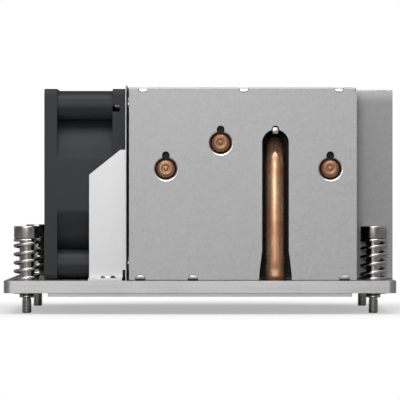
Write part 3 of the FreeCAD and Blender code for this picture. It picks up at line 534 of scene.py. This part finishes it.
def drawFin(shape, y, right, riserSide, cover, front):
    lowest, highest = boxOf("near_cover_fin")
    left, low, high = lowest.x, lowest.z, highest.z
    webLow, webHigh = low + fins["bend"], high - fins["bend"]
    steps = fins["coverSteps" if cover else "innerSteps"]
    corner = fins["corner"] if cover else 0.0
    slots = [(x, low + rise) for x, rise, side in pipeCentres if side == riserSide]
    holes = [(x, low + rise) for x, rise, side in pipeCentres if side != riserSide]
    bites = fins["footNotches"] if riserSide < 0 else fins["footNotches"][:2]
    foot = [(x, notchOutline(x, webLow, False, steps // 3)) for x in bites if cover]
    foot += [(x, slotOutline(x, webLow, z, steps, cover)) for x, z in slots]
    outline = [(left, webLow)]
    for _, opening in sorted(foot):
        outline += opening
    outline.append((right, webLow))
    if corner:
        outline += circle(right - corner, webHigh - corner, corner, 6, 0.0, math.pi / 2)
    else:
        outline.append((right, webHigh))
    locks = [(x, fins["topNotch"][0]) for x in fins["topNotches"]]
    if right > fins["lastNotch"]:
        locks.append((fins["lastNotch"], fins["lastHalf"]))
    for x, reach in sorted(locks, reverse=True):
        narrower = fins["firstTabNarrower"] if front and x == fins["lastNotch"] else 0.0
        if cover:
            outline += notchOutline(x, webHigh, True, steps // 3)
        else:
            outline += tabOutline(x, webHigh, high - fins["tabBelow"], reach - narrower)
    outline.append((left, webHigh))
    holeOutlines = [keyhole(x, z, fins["collar"], steps) if cover else
                    circle(x, z, fins["pipeHole"], steps) for x, z in holes]
    place = Matrix.Translation((0, y + fins["sheet"], 0)) @ standing
    addMesh(shape, flatSheet([outline] + holeOutlines, fins["sheet"], place))
    for x0, x1 in spans(left, right - corner, [(x - reach, x + reach) for x, reach in locks]):
        bentFlange(shape, x0, x1, y, high, True)
    footGaps = [(x, fins["footNotch"][0]) for x in bites if cover]
    footGaps += [(x, fins["slotFoot"]) for x, _ in slots]
    for x0, x1 in spans(left, right, [(x - reach, x + reach) for x, reach in footGaps]):
        bentFlange(shape, x0, x1, y, low, False)


def drawCollar(shape, x, y, z, inwards):
    # the lip drawn in round a pipe hole, open at its key slot
    outer, inner, sheet, deep = (fins[key] for key in ("collar", "throat", "sheet", "collarDeep"))
    lead, back = outer - inner, inner + sheet * 0.8
    profile = [(outer - lead * math.sin(a), lead - lead * math.cos(a))
               for a in (math.radians(15 * n) for n in range(7))]
    profile += [(inner, deep), (back, deep), (back, lead + 0.1), (outer, sheet), (outer, 0)]
    opening = math.asin(fins["keyHalf"] / outer)
    facing = Matrix(((1, 0, 0, 0), (0, 0, inwards, 0), (0, 1, 0, 0), (0, 0, 0, 1)))
    turn(shape, profile, Matrix.Translation((x, y, z)) @ facing, 40, math.pi / 2 + opening,
         math.tau - 2 * opening)


def makeFins():
    low, high = boxOf("near_cover_fin")
    short, long = high.x, boxOf("long_fins")[1].x
    rows = [("near_cover_fin", 1, short, -1, True), ("near_slotted_fins", 5, short, -1, False),
            ("near_inner_fins", 1, short, 0, False), ("long_fins", 18, long, 0, False),
            ("far_inner_fins", 1, short, 0, False), ("far_slotted_fins", 5, short, 1, False),
            ("far_cover_fin", 1, short, 1, True)]        # node, fins, right end, riser side, cover
    first = 0
    for node, count, right, side, cover in rows:
        shape = bmesh.new()
        for n in range(first, first + count):
            drawFin(shape, low.y + n * fins["pitch"], right, side, cover, n == first)
        first += count
        name = node.title().replace("_", "")
        finish = coverSheet if cover else shadedLongFinSheet if node == "long_fins" else shadeDarkenedSheet
        addPiece(name[0].lower() + name[1:], meshOf(shape), finish, "heatsink",
                 [node], 30)
    shape = bmesh.new()
    for x, rise, side in pipeCentres:
        face = low.y if side > 0 else boxOf("far_cover_fin")[0].y + fins["sheet"]
        drawCollar(shape, x, face, low.z + rise, side)
    addPiece("pipeCollars", meshOf(shape), highlightedCollarSheet, "heatsink")
    print("fins made")


tongues = {"lock": [(2.3, 0.05, 0.75), (1.2, 0.05, 0.9), (0.6, 0.10, 1.0), (0.26, 0.22, 1.0),
                    (0.18, 0.45, 0.97), (0.18, 0.70, 0.75), (0.2, 0.86, 0.35)],
           "lockGap": 0.2, "lockThick": 0.3, "lockDown": 0.1, "footLift": 0.35,
           "hump": [(0.05, 0.5), (0.25, 0.12), (0.7, 0.04), (1.7, 0.04), (2.1, 0.15), (2.32, 0.5)],
           "humpHalf": 0.95, "humpThick": 0.35, "humpEnds": 0.1,
           "key": [(5.1, 0.9, 0.4), (4.8, 0.5, 0.75), (4.2, 0.36, 0.85), (3.4, 0.42, 0.85),
                   (2.9, 0.7, 0.7)], "keyRidge": 0.18, "keyThick": 0.3}


def strip(x, half, y, z, back, down):        # a section across X, its rear edge set back and down
    return [(x - half, y, z), (x + half, y, z),
            (x + half, y + back, z - down), (x - half, y + back, z - down)]


def makeLockTongues():        # the tongues that lock each fin to the next one
    low, high = boxOf("near_cover_fin")
    farEnd = boxOf("far_cover_fin")[1].y
    longLow, longHigh = boxOf("long_fins")
    shape = bmesh.new()
    for notches, z, sign, (half, deep), lift in (
            (fins["topNotches"], high.z, 1, fins["topNotch"], 0.0),
            (fins["footNotches"], low.z, -1, fins["footNotch"], tongues["footLift"])):
        for x in notches:
            rings = []
            for dy, down, wide in tongues["lock"]:
                drop = lift + down * (deep + fins["bend"] - lift)
                rings.append(strip(x, (half - tongues["lockGap"]) * wide, low.y + dy,
                                   z - sign * drop, tongues["lockThick"],
                                   sign * tongues["lockDown"]))
            loft(shape, rings)
    ends = tongues["humpEnds"]
    runs = [(x, low.y + fins["pitch"], farEnd - ends) for x in fins["topNotches"]]
    runs.append((fins["lastNotch"], longLow.y + ends, longHigh.y - ends))
    for x, fin, last in runs:
        while fin < last - 1.0:        # a hump on each fin, dipping under the next one's edge
            loft(shape, [strip(x, tongues["humpHalf"], fin + dy, high.z - drop, 0.0,
                               tongues["humpThick"]) for dy, drop in tongues["hump"]])
            fin += fins["pitch"]
    x, z = next((x, low.z + rise) for x, rise, side in pipeCentres if side < 0)
    rings = []        # the tongue that shows in the key over the near riser
    for up, dy, half in tongues["key"]:
        front, back = low.y + dy, low.y + dy + tongues["keyThick"]
        rings.append([(x - half, front, z + up), (x, front - tongues["keyRidge"], z + up),
                      (x + half, front, z + up), (x + half, back, z + up),
                      (x - half, back, z + up)])
    loft(shape, rings)
    addPiece("lockTongues", meshOf(shape), highlightedTongueSheet, "heatsink")


# tip is (along, radius) from the end inwards; stub is (narrower, flatter, from the end) at the foot
pipes = {"radius": 3.0, "bend": 8.4, "flat": 3.6, "bendSteps": 12, "sides": 32, "tipInset": 0.05,
         "tip": [(0.0, 0.25), (0.03, 0.42), (0.24, 0.62), (0.30, 0.95), (0.16, 1.25), (0.10, 1.7),
                 (0.16, 2.1), (0.38, 2.45), (0.75, 2.66), (1.5, 2.74), (2.3, 2.8), (3.2, 3.0)],
         "stub": [(0.0, 0.0, 2.0), (0.6, 0.4, 0.6), (2.4, 1.8, 0.1)]}


def pipeRing(width, height, y, z, heading, side):        # a section square to the pipe's run in YZ
    straight, radius, count = (width - height) / 2, height / 2, pipes["sides"]
    ring = []
    for n in range(count):
        angle = math.tau * (n + 0.5) / count
        across = math.copysign(straight, math.cos(angle)) + radius * math.cos(angle)
        up = radius * math.sin(angle)
        ring.append((across, side * (y - up * math.sin(heading)), z + up * math.cos(heading)))
    return ring


def pressedWidth(height):        # the tube keeps its girth when it is pressed flat
    return height + (math.tau * pipes["radius"] - math.pi * height) / 2


def makePipes():
    radius, bend, flat, steps = (pipes[key] for key in ("radius", "bend", "flat", "bendSteps"))
    for number, (x, rise, side) in enumerate(pipeCentres, 1):
        node = f"heat_pipe_{number}"
        low, high = boxOf(node)
        end = -low.y if side > 0 else high.y
        riser = (high.y if side > 0 else -low.y) - radius
        top = boxOf("near_cover_fin")[0].z + rise
        bottom = boxOf("base_plate")[1].z - flat / 2
        rings = [pipeRing(2 * r, 2 * r, -end + pipes["tipInset"] + along, top, 0, side)
                 for along, r in pipes["tip"]]
        for step in range(steps + 1):        # the upper bend stays round
            heading = -math.pi / 2 * step / steps
            rings.append(pipeRing(2 * radius, 2 * radius, riser - bend - bend * math.sin(heading),
                                  top - bend + bend * math.cos(heading), heading, side))
        for step in range(steps + 1):        # the lower one goes flat on its way round
            share = step / steps
            heading = -math.pi / 2 * (1 + share)
            height = 2 * radius + (flat - 2 * radius) * (3 * share ** 2 - 2 * share ** 3)
            rings.append(pipeRing(pressedWidth(height), height,
                                  riser - bend - bend * math.sin(heading),
                                  bottom + bend + bend * math.cos(heading), heading, side))
        for narrower, flatter, inside in pipes["stub"]:
            rings.append(pipeRing(pressedWidth(flat) - narrower, flat - flatter, inside - riser,
                                  bottom, -math.pi, side))
        shape = bmesh.new()
        loft(shape, [[(x + px, py, pz) for px, py, pz in ring] for ring in rings])
        addPiece(f"copperPipe{number}", meshOf(shape), copper, "heatsink",
                 [node], 40)
    print("heat pipes made")


fan = {"frameEasing": 0.22, "frameLimit": 40, "blades": 7, "hub": 17.0, "tip": 27.9, "wall": 1.2,
       "boss": 3.6, "bossLong": 3.4, "bore": 1.55, "hubRounding": 0.5, "hubSteps": 72,
       "hubNose": [(-2.4, 0.0), (-0.9, 0.5), (0.0, 1.9)],        # outwards from the hub, along
       "rise": 2.3, "thick": 1.1, "edgeShare": 0.30, "tipThinner": 0.35, "rootSkew": 12.0,
       "tipSkew": 18.5, "sweep": 3.2, "rootSunk": 0.5, "leadInset": 1.2, "trailInset": 1.6,
       "bladeEnds": 1.0, "chordSteps": 14, "spanSteps": 9}


def makeFanFrame():
    keepFlatsFlat(addPiece("fanFrame", eased("fan_frame", fan["frameEasing"], fan["frameLimit"]),
                           fanPlastic, "heatsink", ["fan_frame"]))


def bladePoint(along, out, face, lead, trail):
    # along runs from the leading to the trailing edge, out from root to tip, and face is -1 or 1
    skew = fan["rootSkew"] + (fan["tipSkew"] - fan["rootSkew"]) * out
    root = fan["hub"] - fan["rootSunk"]
    radius = root + (fan["tip"] - root) * out
    inset = fan["leadInset"] * out ** 2
    x0, x1 = lead + inset, trail - fan["trailInset"] * inset
    belly = math.sin(math.pi * min(along * 1.15 + 0.06, 1)) ** 0.8
    thick = fan["thick"] * (fan["edgeShare"] + (1 - fan["edgeShare"]) * belly) * \
        (1 - fan["tipThinner"] * out)
    off = fan["rise"] * 4 * along * (1 - along) + face * thick / 2
    slope = math.atan2(skew, x1 - x0)
    x = x0 + (x1 - x0) * along - math.sin(slope) * off
    across = -skew / 2 + skew * along + math.cos(slope) * off - fan["sweep"] * out ** 2
    angle = across / radius
    return x, radius * math.sin(angle), radius * math.cos(angle)


def makeImpeller():
    low, high = boxOf("impeller")
    frameLow, frameHigh = boxOf("fan_frame")
    axis = Vector((0, 0, (frameLow.z + frameHigh.z) / 2))
    shape = bmesh.new()
    hub, wall, boss, bore = (fan[key] for key in ("hub", "wall", "boss", "bore"))
    length, floor = high.x - low.x, wall + 0.02
    profile = [(0, 0)] + [(hub + out, along) for out, along in fan["hubNose"]]
    profile += [(hub, length), (hub - wall, length), (hub - wall, wall), (boss, wall),
                (boss, fan["bossLong"]), (bore, fan["bossLong"]), (bore, floor), (0, floor)]
    place = Matrix.Translation(Vector((low.x, 0, axis.z))) @ alongX
    turn(shape, rounded(profile, fan["hubRounding"]), place, fan["hubSteps"])
    lead, trail = low.x + fan["bladeEnds"], high.x - fan["bladeEnds"]
    chord = [n / fan["chordSteps"] for n in range(fan["chordSteps"] + 1)]
    for blade in range(fan["blades"]):
        about = Matrix.Translation(axis) @ Matrix.Rotation(math.tau * blade / fan["blades"], 4, "X")
        rings = []
        for step in range(fan["spanSteps"] + 1):
            out = step / fan["spanSteps"]
            front = [bladePoint(along, out, 1, lead, trail) for along in chord]
            back = [bladePoint(along, out, -1, lead, trail) for along in chord[::-1]]
            rings.append([about @ Vector(point) for point in front + back])
        loft(shape, rings)
    addPiece("impellerBlades", meshOf(shape), bladePlastic, "fan_rotor",
             ["impeller"], 40)
    print("fan made")


bracket = {"easing": 0.12, "foldRadius": 0.62, "wingClear": 1.0}


def makeBracket():
    back = boxOf("fan_bracket")[1].x
    wing = boxOf("fan_frame")[1].y + bracket["wingClear"]        # outer face of the wings

    def onFold(point):
        return abs(point.x - back) < 0.01 and abs(abs(point.y) - wing) < 0.01

    mesh = eased("fan_bracket", bracket["easing"], fold=onFold, foldRadius=bracket["foldRadius"])
    keepFlatsFlat(addPiece("foldedBracket", mesh, zincSheet, "heatsink",
                           ["fan_bracket"]))


# dome is in shares of the head's width and height, slot in shares of its half length and height
crossHead = {"dome": [(0.0, 0.45), (0.16, 0.45), (0.20, 0.97), (0.30, 0.94), (0.44, 0.72),
                      (0.5, 0.30), (0.5, 0.0)],
             "slot": [(-1, 0.82), (-0.55, 1.01), (0.55, 1.01), (1, 0.82)],
             "slotHalf": 0.34, "slotDeep": 0.5, "slotWide": 0.05, "steps": 36}
footScrew = {"head": 4.6, "rise": 0.9, "shank": 2.5, "length": 3.6}
fanScrew = {"head": 6.6, "rise": 0.45, "shank": 4.2, "length": 5.0}


def crossScrews(name, node, size, centres, place):
    # low domed heads with a cross in them; place lays local Z along the screw, head outwards
    head, rise, shank, length = (size[key] for key in ("head", "rise", "shank", "length"))
    half, deep, wide = (crossHead[key] for key in ("slotHalf", "slotDeep", "slotWide"))
    profile = [(head * radius, rise * height) for radius, height in crossHead["dome"]]
    profile += [(shank / 2, 0.0), (shank / 2, -length + shank * 0.2), (shank * 0.3, -length),
                (0, -length)]
    slot = [(head * half * x, rise * z) for x, z in crossHead["slot"]]
    slot += [(head * half, rise * deep), (-head * half, rise * deep)]
    shape = bmesh.new()
    for centre in centres:
        at = Matrix.Translation(Vector(centre)) @ place
        turn(shape, profile, at, crossHead["steps"])
        for angle in (0, math.pi / 2):
            spun = at @ Matrix.Rotation(angle, 4, "Z")
            loft(shape, [[spun @ Vector((x, side * head * wide, z)) for x, z in slot]
                         for side in (-1, 1)])
    addPiece(name, meshOf(shape), nickelSteel, "heatsink", [node])


def makeFixedScrews():
    low, high = boxOf("foot_screws")
    reach = (high.y - low.y - footScrew["head"]) / 2
    x, seat = (low.x + high.x) / 2, high.z - footScrew["rise"]
    crossScrews("footScrews", "foot_screws", footScrew,
                [(x, side * reach, seat) for side in (-1, 1)], Matrix.Identity(4))
    low, high = boxOf("fan_screws")
    span, middle = (high.y - low.y - fanScrew["head"]) / 2, (low.z + high.z) / 2
    crossScrews("fanScrews", "fan_screws", fanScrew,
                [(high.x - fanScrew["rise"], dy * span, middle + dz * span)
                 for dy in (-1, 1) for dz in (-1, 1)], Matrix.Rotation(math.pi / 2, 4, "Y"))


# recess is (size, up) from the head's top; rim and seat are (outwards, up) from the head's edge
# at its top and underside; shank is (radius, up) from the retaining ring's top; thread is
# (ridge share, up)
screw = {"head": 4.0, "headTall": 3.9, "neck": 2.3, "sides": 72,
         "recess": [(0.5, -2.2), (1.9885, -1.85), (2.05, -0.12), (2.173, 0.0)],
         "rim": [(-0.42, 0.0), (-0.16, -0.08), (-0.03, -0.25), (0.0, -0.45)],
         "seat": [(0.0, 0.35), (-0.08, 0.12), (-0.3, 0.0)],
         "shank": [(2.3, 0.06), (1.7, 0.04), (1.7, -0.54), (2.25, -0.56), (2.3, -0.64),
                   (2.3, -1.6), (2.2, -1.72), (1.35, -1.8), (1.3, -1.9)],
         "thread": [(0, 0.0), (0, -0.06), (1, -0.14), (1, -0.36), (0, -0.46)],
         "threadRadius": 1.5, "threadDeep": 0.20, "pitch": 0.5, "threadSteps": 28, "chamfer": 0.3}


def makeScrew(corner):
    node = f"spring_screw_{corner}"
    low, high = boxOf(node)
    x, y, top, tip = (low.x + high.x) / 2, (low.y + high.y) / 2, high.z, low.z
    angles = [math.tau * n / screw["sides"] for n in range(screw["sides"])]

    def ring(radius, z):
        return [(x + radius * math.cos(a), y + radius * math.sin(a), z) for a in angles]

    def star(size, z):        # a six-lobed driver recess
        lobes = [(a, size * (0.87 + 0.13 * math.cos(6 * a))) for a in angles]
        return [(x + radius * math.cos(a), y + radius * math.sin(a), z) for a, radius in lobes]

    head, seat = screw["head"], top - screw["headTall"]
    ringTop = boxOf(f"retaining_ring_{corner}")[1].z
    rings = [star(size, top + up) for size, up in screw["recess"]]
    rings += [ring(head + out, top + up) for out, up in screw["rim"]]
    rings += [ring(head + out, seat + up) for out, up in screw["seat"]]
    rings += [ring(screw["neck"], seat)]
    rings += [ring(radius, ringTop + up) for radius, up in screw["shank"]]
    shape = bmesh.new()
    loft(shape, rings, capEnd=False)

    # the thread: one ridge wound down to the chamfered tip, round a plain core
    start, steps, chamfer = ringTop + screw["shank"][-1][1], screw["threadSteps"], screw["chamfer"]
    radius, deep = screw["threadRadius"] - screw["threadDeep"], screw["threadDeep"]
    rows = []
    for n in range(int((start - tip - 0.15) / screw["pitch"] * steps) + 1):
        a, z = math.tau * n / steps, start - screw["pitch"] * n / steps
        core = radius * (0.8 + 0.2 * min(1.0, max(0.0, (z - tip) / chamfer)))
        ridge = deep * min(1.0, n / steps, max(0.0, (z - tip - 0.1) / chamfer))
        rows.append([shape.verts.new((x + (core + ridge * share) * math.cos(a),
                                      y - (core + ridge * share) * math.sin(a), max(z + up, tip)))
                     for share, up in screw["thread"]])
    for here, ahead in zip(rows, rows[1:]):
        for k in range(len(screw["thread"]) - 1):
            shape.faces.new((here[k], here[k + 1], ahead[k + 1], ahead[k]))
    turn(shape, [(0, start + 0.02), (radius, start + 0.02), (radius - 0.02, start - 0.1),
                 (radius - 0.02, tip + 0.2), (1.02, tip), (0, tip)],
         Matrix.Translation((x, y, 0)), 36)
    keepFlatsFlat(addPiece(f"cornerScrew.{corner}", meshOf(shape), nickelSteel,
                           f"screw_{corner}", [node], 32))


snapRing = {"easing": 0.08}


def makeRing(corner):
    node = f"retaining_ring_{corner}"
    addPiece(f"snapRing.{corner}", eased(node, snapRing["easing"]), darkRing, f"ring_{corner}",
             [node])


# flatTurn is how much of a turn lies level at each end, start how far round the wire begins
spring = {"wire": 1.0, "outside": 8.4, "turns": 5.75, "flatTurn": 0.62,
          "start": {"left": 0.064, "right": 0.374}, "sides": 12, "turnSteps": 28}


def makeSpring(corner):
    node = f"spring_{corner}"
    low, high = boxOf(node)
    centre = (low + high) / 2
    radius, wire = (spring["outside"] - spring["wire"]) / 2, spring["wire"] / 2
    turns, flat = spring["turns"], spring["flatTurn"]
    start = spring["start"][corner.split("_")[1]]
    total = int(turns * spring["turnSteps"])
    climb = high.z - low.z - 2 * wire
    rows = []
    for n in range(total + 1):
        wound = turns * n / total
        share = min(max((wound - flat) / (turns - 2 * flat), 0), 1)
        angle = math.tau * (wound + start)
        out = Vector((math.cos(angle), math.sin(angle), 0))
        middle = Vector((centre.x, centre.y, low.z + wire + climb * share)) + out * radius
        row = []
        for k in range(spring["sides"]):
            a = math.tau * k / spring["sides"]
            point = middle + out * (wire * math.cos(a)) + Vector((0, 0, wire * math.sin(a)))
            row.append((point.x, point.y, min(max(point.z, low.z), high.z)))
        rows.append(row)
    shape = bmesh.new()
    loft(shape, rows)
    coil = addPiece(f"coilSpring.{corner}", meshOf(shape), springNickel, "heatsink",
                    [node], 50)
    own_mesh(coil)


motorFinishes = {"rotor_yoke": motorSteel, "magnet_ring": ferrite, "fan_shaft": nickelSteel,
                 "shaft_clip": darkRing, "bearing_tube": turnedBrass,
                 "sleeve_bearing": sinteredBronze, "stator_core": motorSteel,
                 "stator_coils": coilWire, "circuit_board": boardGreen}


def finishMotor():        # the motor inside the hub keeps its own shapes
    for node, finish in motorFinishes.items():
        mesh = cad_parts[node].data
        mesh.materials.clear()
        mesh.materials.append(finish)


makePlate()
makeFins()
makeLockTongues()
makePipes()
makeFanFrame()
makeImpeller()
makeBracket()
makeFixedScrews()
for corner in corners:
    makeScrew(corner)
    makeRing(corner)
    makeSpring(corner)
finishMotor()
print("screws and motor made")


stage = {"floorHalf": 8.0, "floorBelow": 0.00002, "pale": 0.93, "mirrored": 0.30,
         "floorGlow": 0.43, "glowNear": 0.032, "glowFar": 0.088, "glowStretch": 0.6, "fill": 0.45}
camera = {"lens": 224.0, "sensor": 36.0, "distance": 0.810, "height": 0.030}


def makeFloor():
    shape = bmesh.new()
    bmesh.ops.create_grid(shape, x_segments=4, y_segments=4, size=stage["floorHalf"])
    mesh = bpy.data.meshes.new("floor")
    shape.to_mesh(mesh)
    shape.free()
    floor = newObject("floor", mesh)
    floor.location.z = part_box("spring_screw_near_left")[0].z - stage["floorBelow"]
    recipe = Recipe("pale floor", Roughness=0.9, Specular_IOR_Level=0.2)
    pale, grey = (stage["pale"],) * 3 + (1.0,), (stage["mirrored"],) * 3 + (1.0,)
    mirrored = recipe.node("LightPath", {}, {}, "Is Glossy Ray")
    recipe.set("Base Color", recipe.mix(mirrored, pale, grey))        # darker where it is mirrored
    away = recipe.node("VectorMath", {"operation": "LENGTH"},
                       {0: recipe.stretched(stage["glowStretch"], 1, 0)}, "Value")
    glow = recipe.band(away, stage["glowNear"], stage["glowFar"], stage["floorGlow"], 1.0)
    seen = recipe.node("LightPath", {}, {}, "Is Camera Ray")
    white = recipe.node("Emission", {}, {})
    matte = Wire(recipe, recipe.shader.outputs[0])
    blend = recipe.node("MixShader", {}, {0: seen * glow, 1: matte, 2: white})
    recipe.feed(recipe.tree.nodes["Material Output"].inputs[0], blend)
    mesh.materials.append(recipe.material)


def makeWorld():
    world = bpy.data.worlds.new("studio")
    bpy.context.scene.world = world
    world.use_nodes = True
    background = world.node_tree.nodes["Background"]
    background.inputs["Color"].default_value = (1, 1, 1, 1)
    sky = NodeMaker(world.node_tree)
    sky.feed(background.inputs["Strength"],
             stage["fill"] + sky.seenDirectly() * (1 - stage["fill"]))


def aimed(name, data, place, aim):
    thing = newObject(name, data)
    thing.location = place
    thing.rotation_euler = (Vector(aim) - Vector(place)).to_track_quat("-Z", "Y").to_euler()
    return thing


def addCard(name, grey, place, aim, size):        # a grey card that only shows in reflections
    mesh = bpy.data.meshes.new(name)
    half, tall = size[0] / 2, size[1] / 2
    mesh.from_pydata([(-half, -tall, 0), (half, -tall, 0), (half, tall, 0), (-half, tall, 0)],
                     [], [(0, 1, 2, 3)])
    material = bpy.data.materials.new(name)
    material.use_nodes = True
    maker = NodeMaker(material.node_tree)
    maker.feed(maker.tree.nodes["Material Output"].inputs[0],
               maker.node("Emission", {}, {"Color": (grey, grey, grey, 1)}))
    mesh.materials.append(material)
    card = aimed(name, mesh, place, aim)
    card.visible_camera = card.visible_diffuse = False
    card.visible_shadow = card.visible_transmission = False


def addSoftbox(name, watts, place, aim, size, onMatte=True):
    lamp = bpy.data.lights.new(name, "AREA")
    lamp.shape, lamp.size, lamp.size_y, lamp.energy = "RECTANGLE", size[0], size[1], watts
    aimed(name, lamp, place, aim).visible_diffuse = onMatte


def makeCamera():
    lens = bpy.data.cameras.new("camera")
    lens.lens, lens.sensor_width = camera["lens"], camera["sensor"]
    lens.clip_start, lens.clip_end = 0.01, 20.0
    eye = newObject("camera", lens)
    eye.location = (0, -camera["distance"], camera["height"])
    eye.rotation_euler = (math.pi / 2, 0, 0)
    bpy.context.scene.camera = eye


makeFloor()
makeWorld()
middle, cardHigh = (0, 0, 0.03), (0, 0, 0.45)
addSoftbox("overhead", watts=4.5, place=(0, -0.35, 0.80), aim=middle, size=(0.9, 0.45))
addSoftbox("front", watts=0.56, place=(-0.10, -1.15, 0.33), aim=(0, 0, 0.30), size=(0.62, 0.62))
addSoftbox("glint", watts=2.1, place=(-0.08, -1.05, 0.30), aim=middle, size=(0.20, 0.40),
           onMatte=False)
addCard("left flag", grey=0.18, place=(-1.2, -0.2, 0.45), aim=cardHigh, size=(2.2, 1.2))
addCard("right flag", grey=0.34, place=(1.2, -0.2, 0.45), aim=cardHigh, size=(2.2, 1.2))
addCard("front flag", grey=0.24, place=(0.82, -1.02, 0.45), aim=cardHigh, size=(0.95, 1.2))
addCard("top flag", grey=0.10, place=(0, 0.9, 1.3), aim=middle, size=(3.0, 2.0))
addCard("back flag", grey=0.12, place=(0, 1.6, 0.45), aim=cardHigh, size=(3.4, 1.2))
makeCamera()
bpy.context.scene.view_settings.view_transform = "Standard"
print("stage, light and camera made")
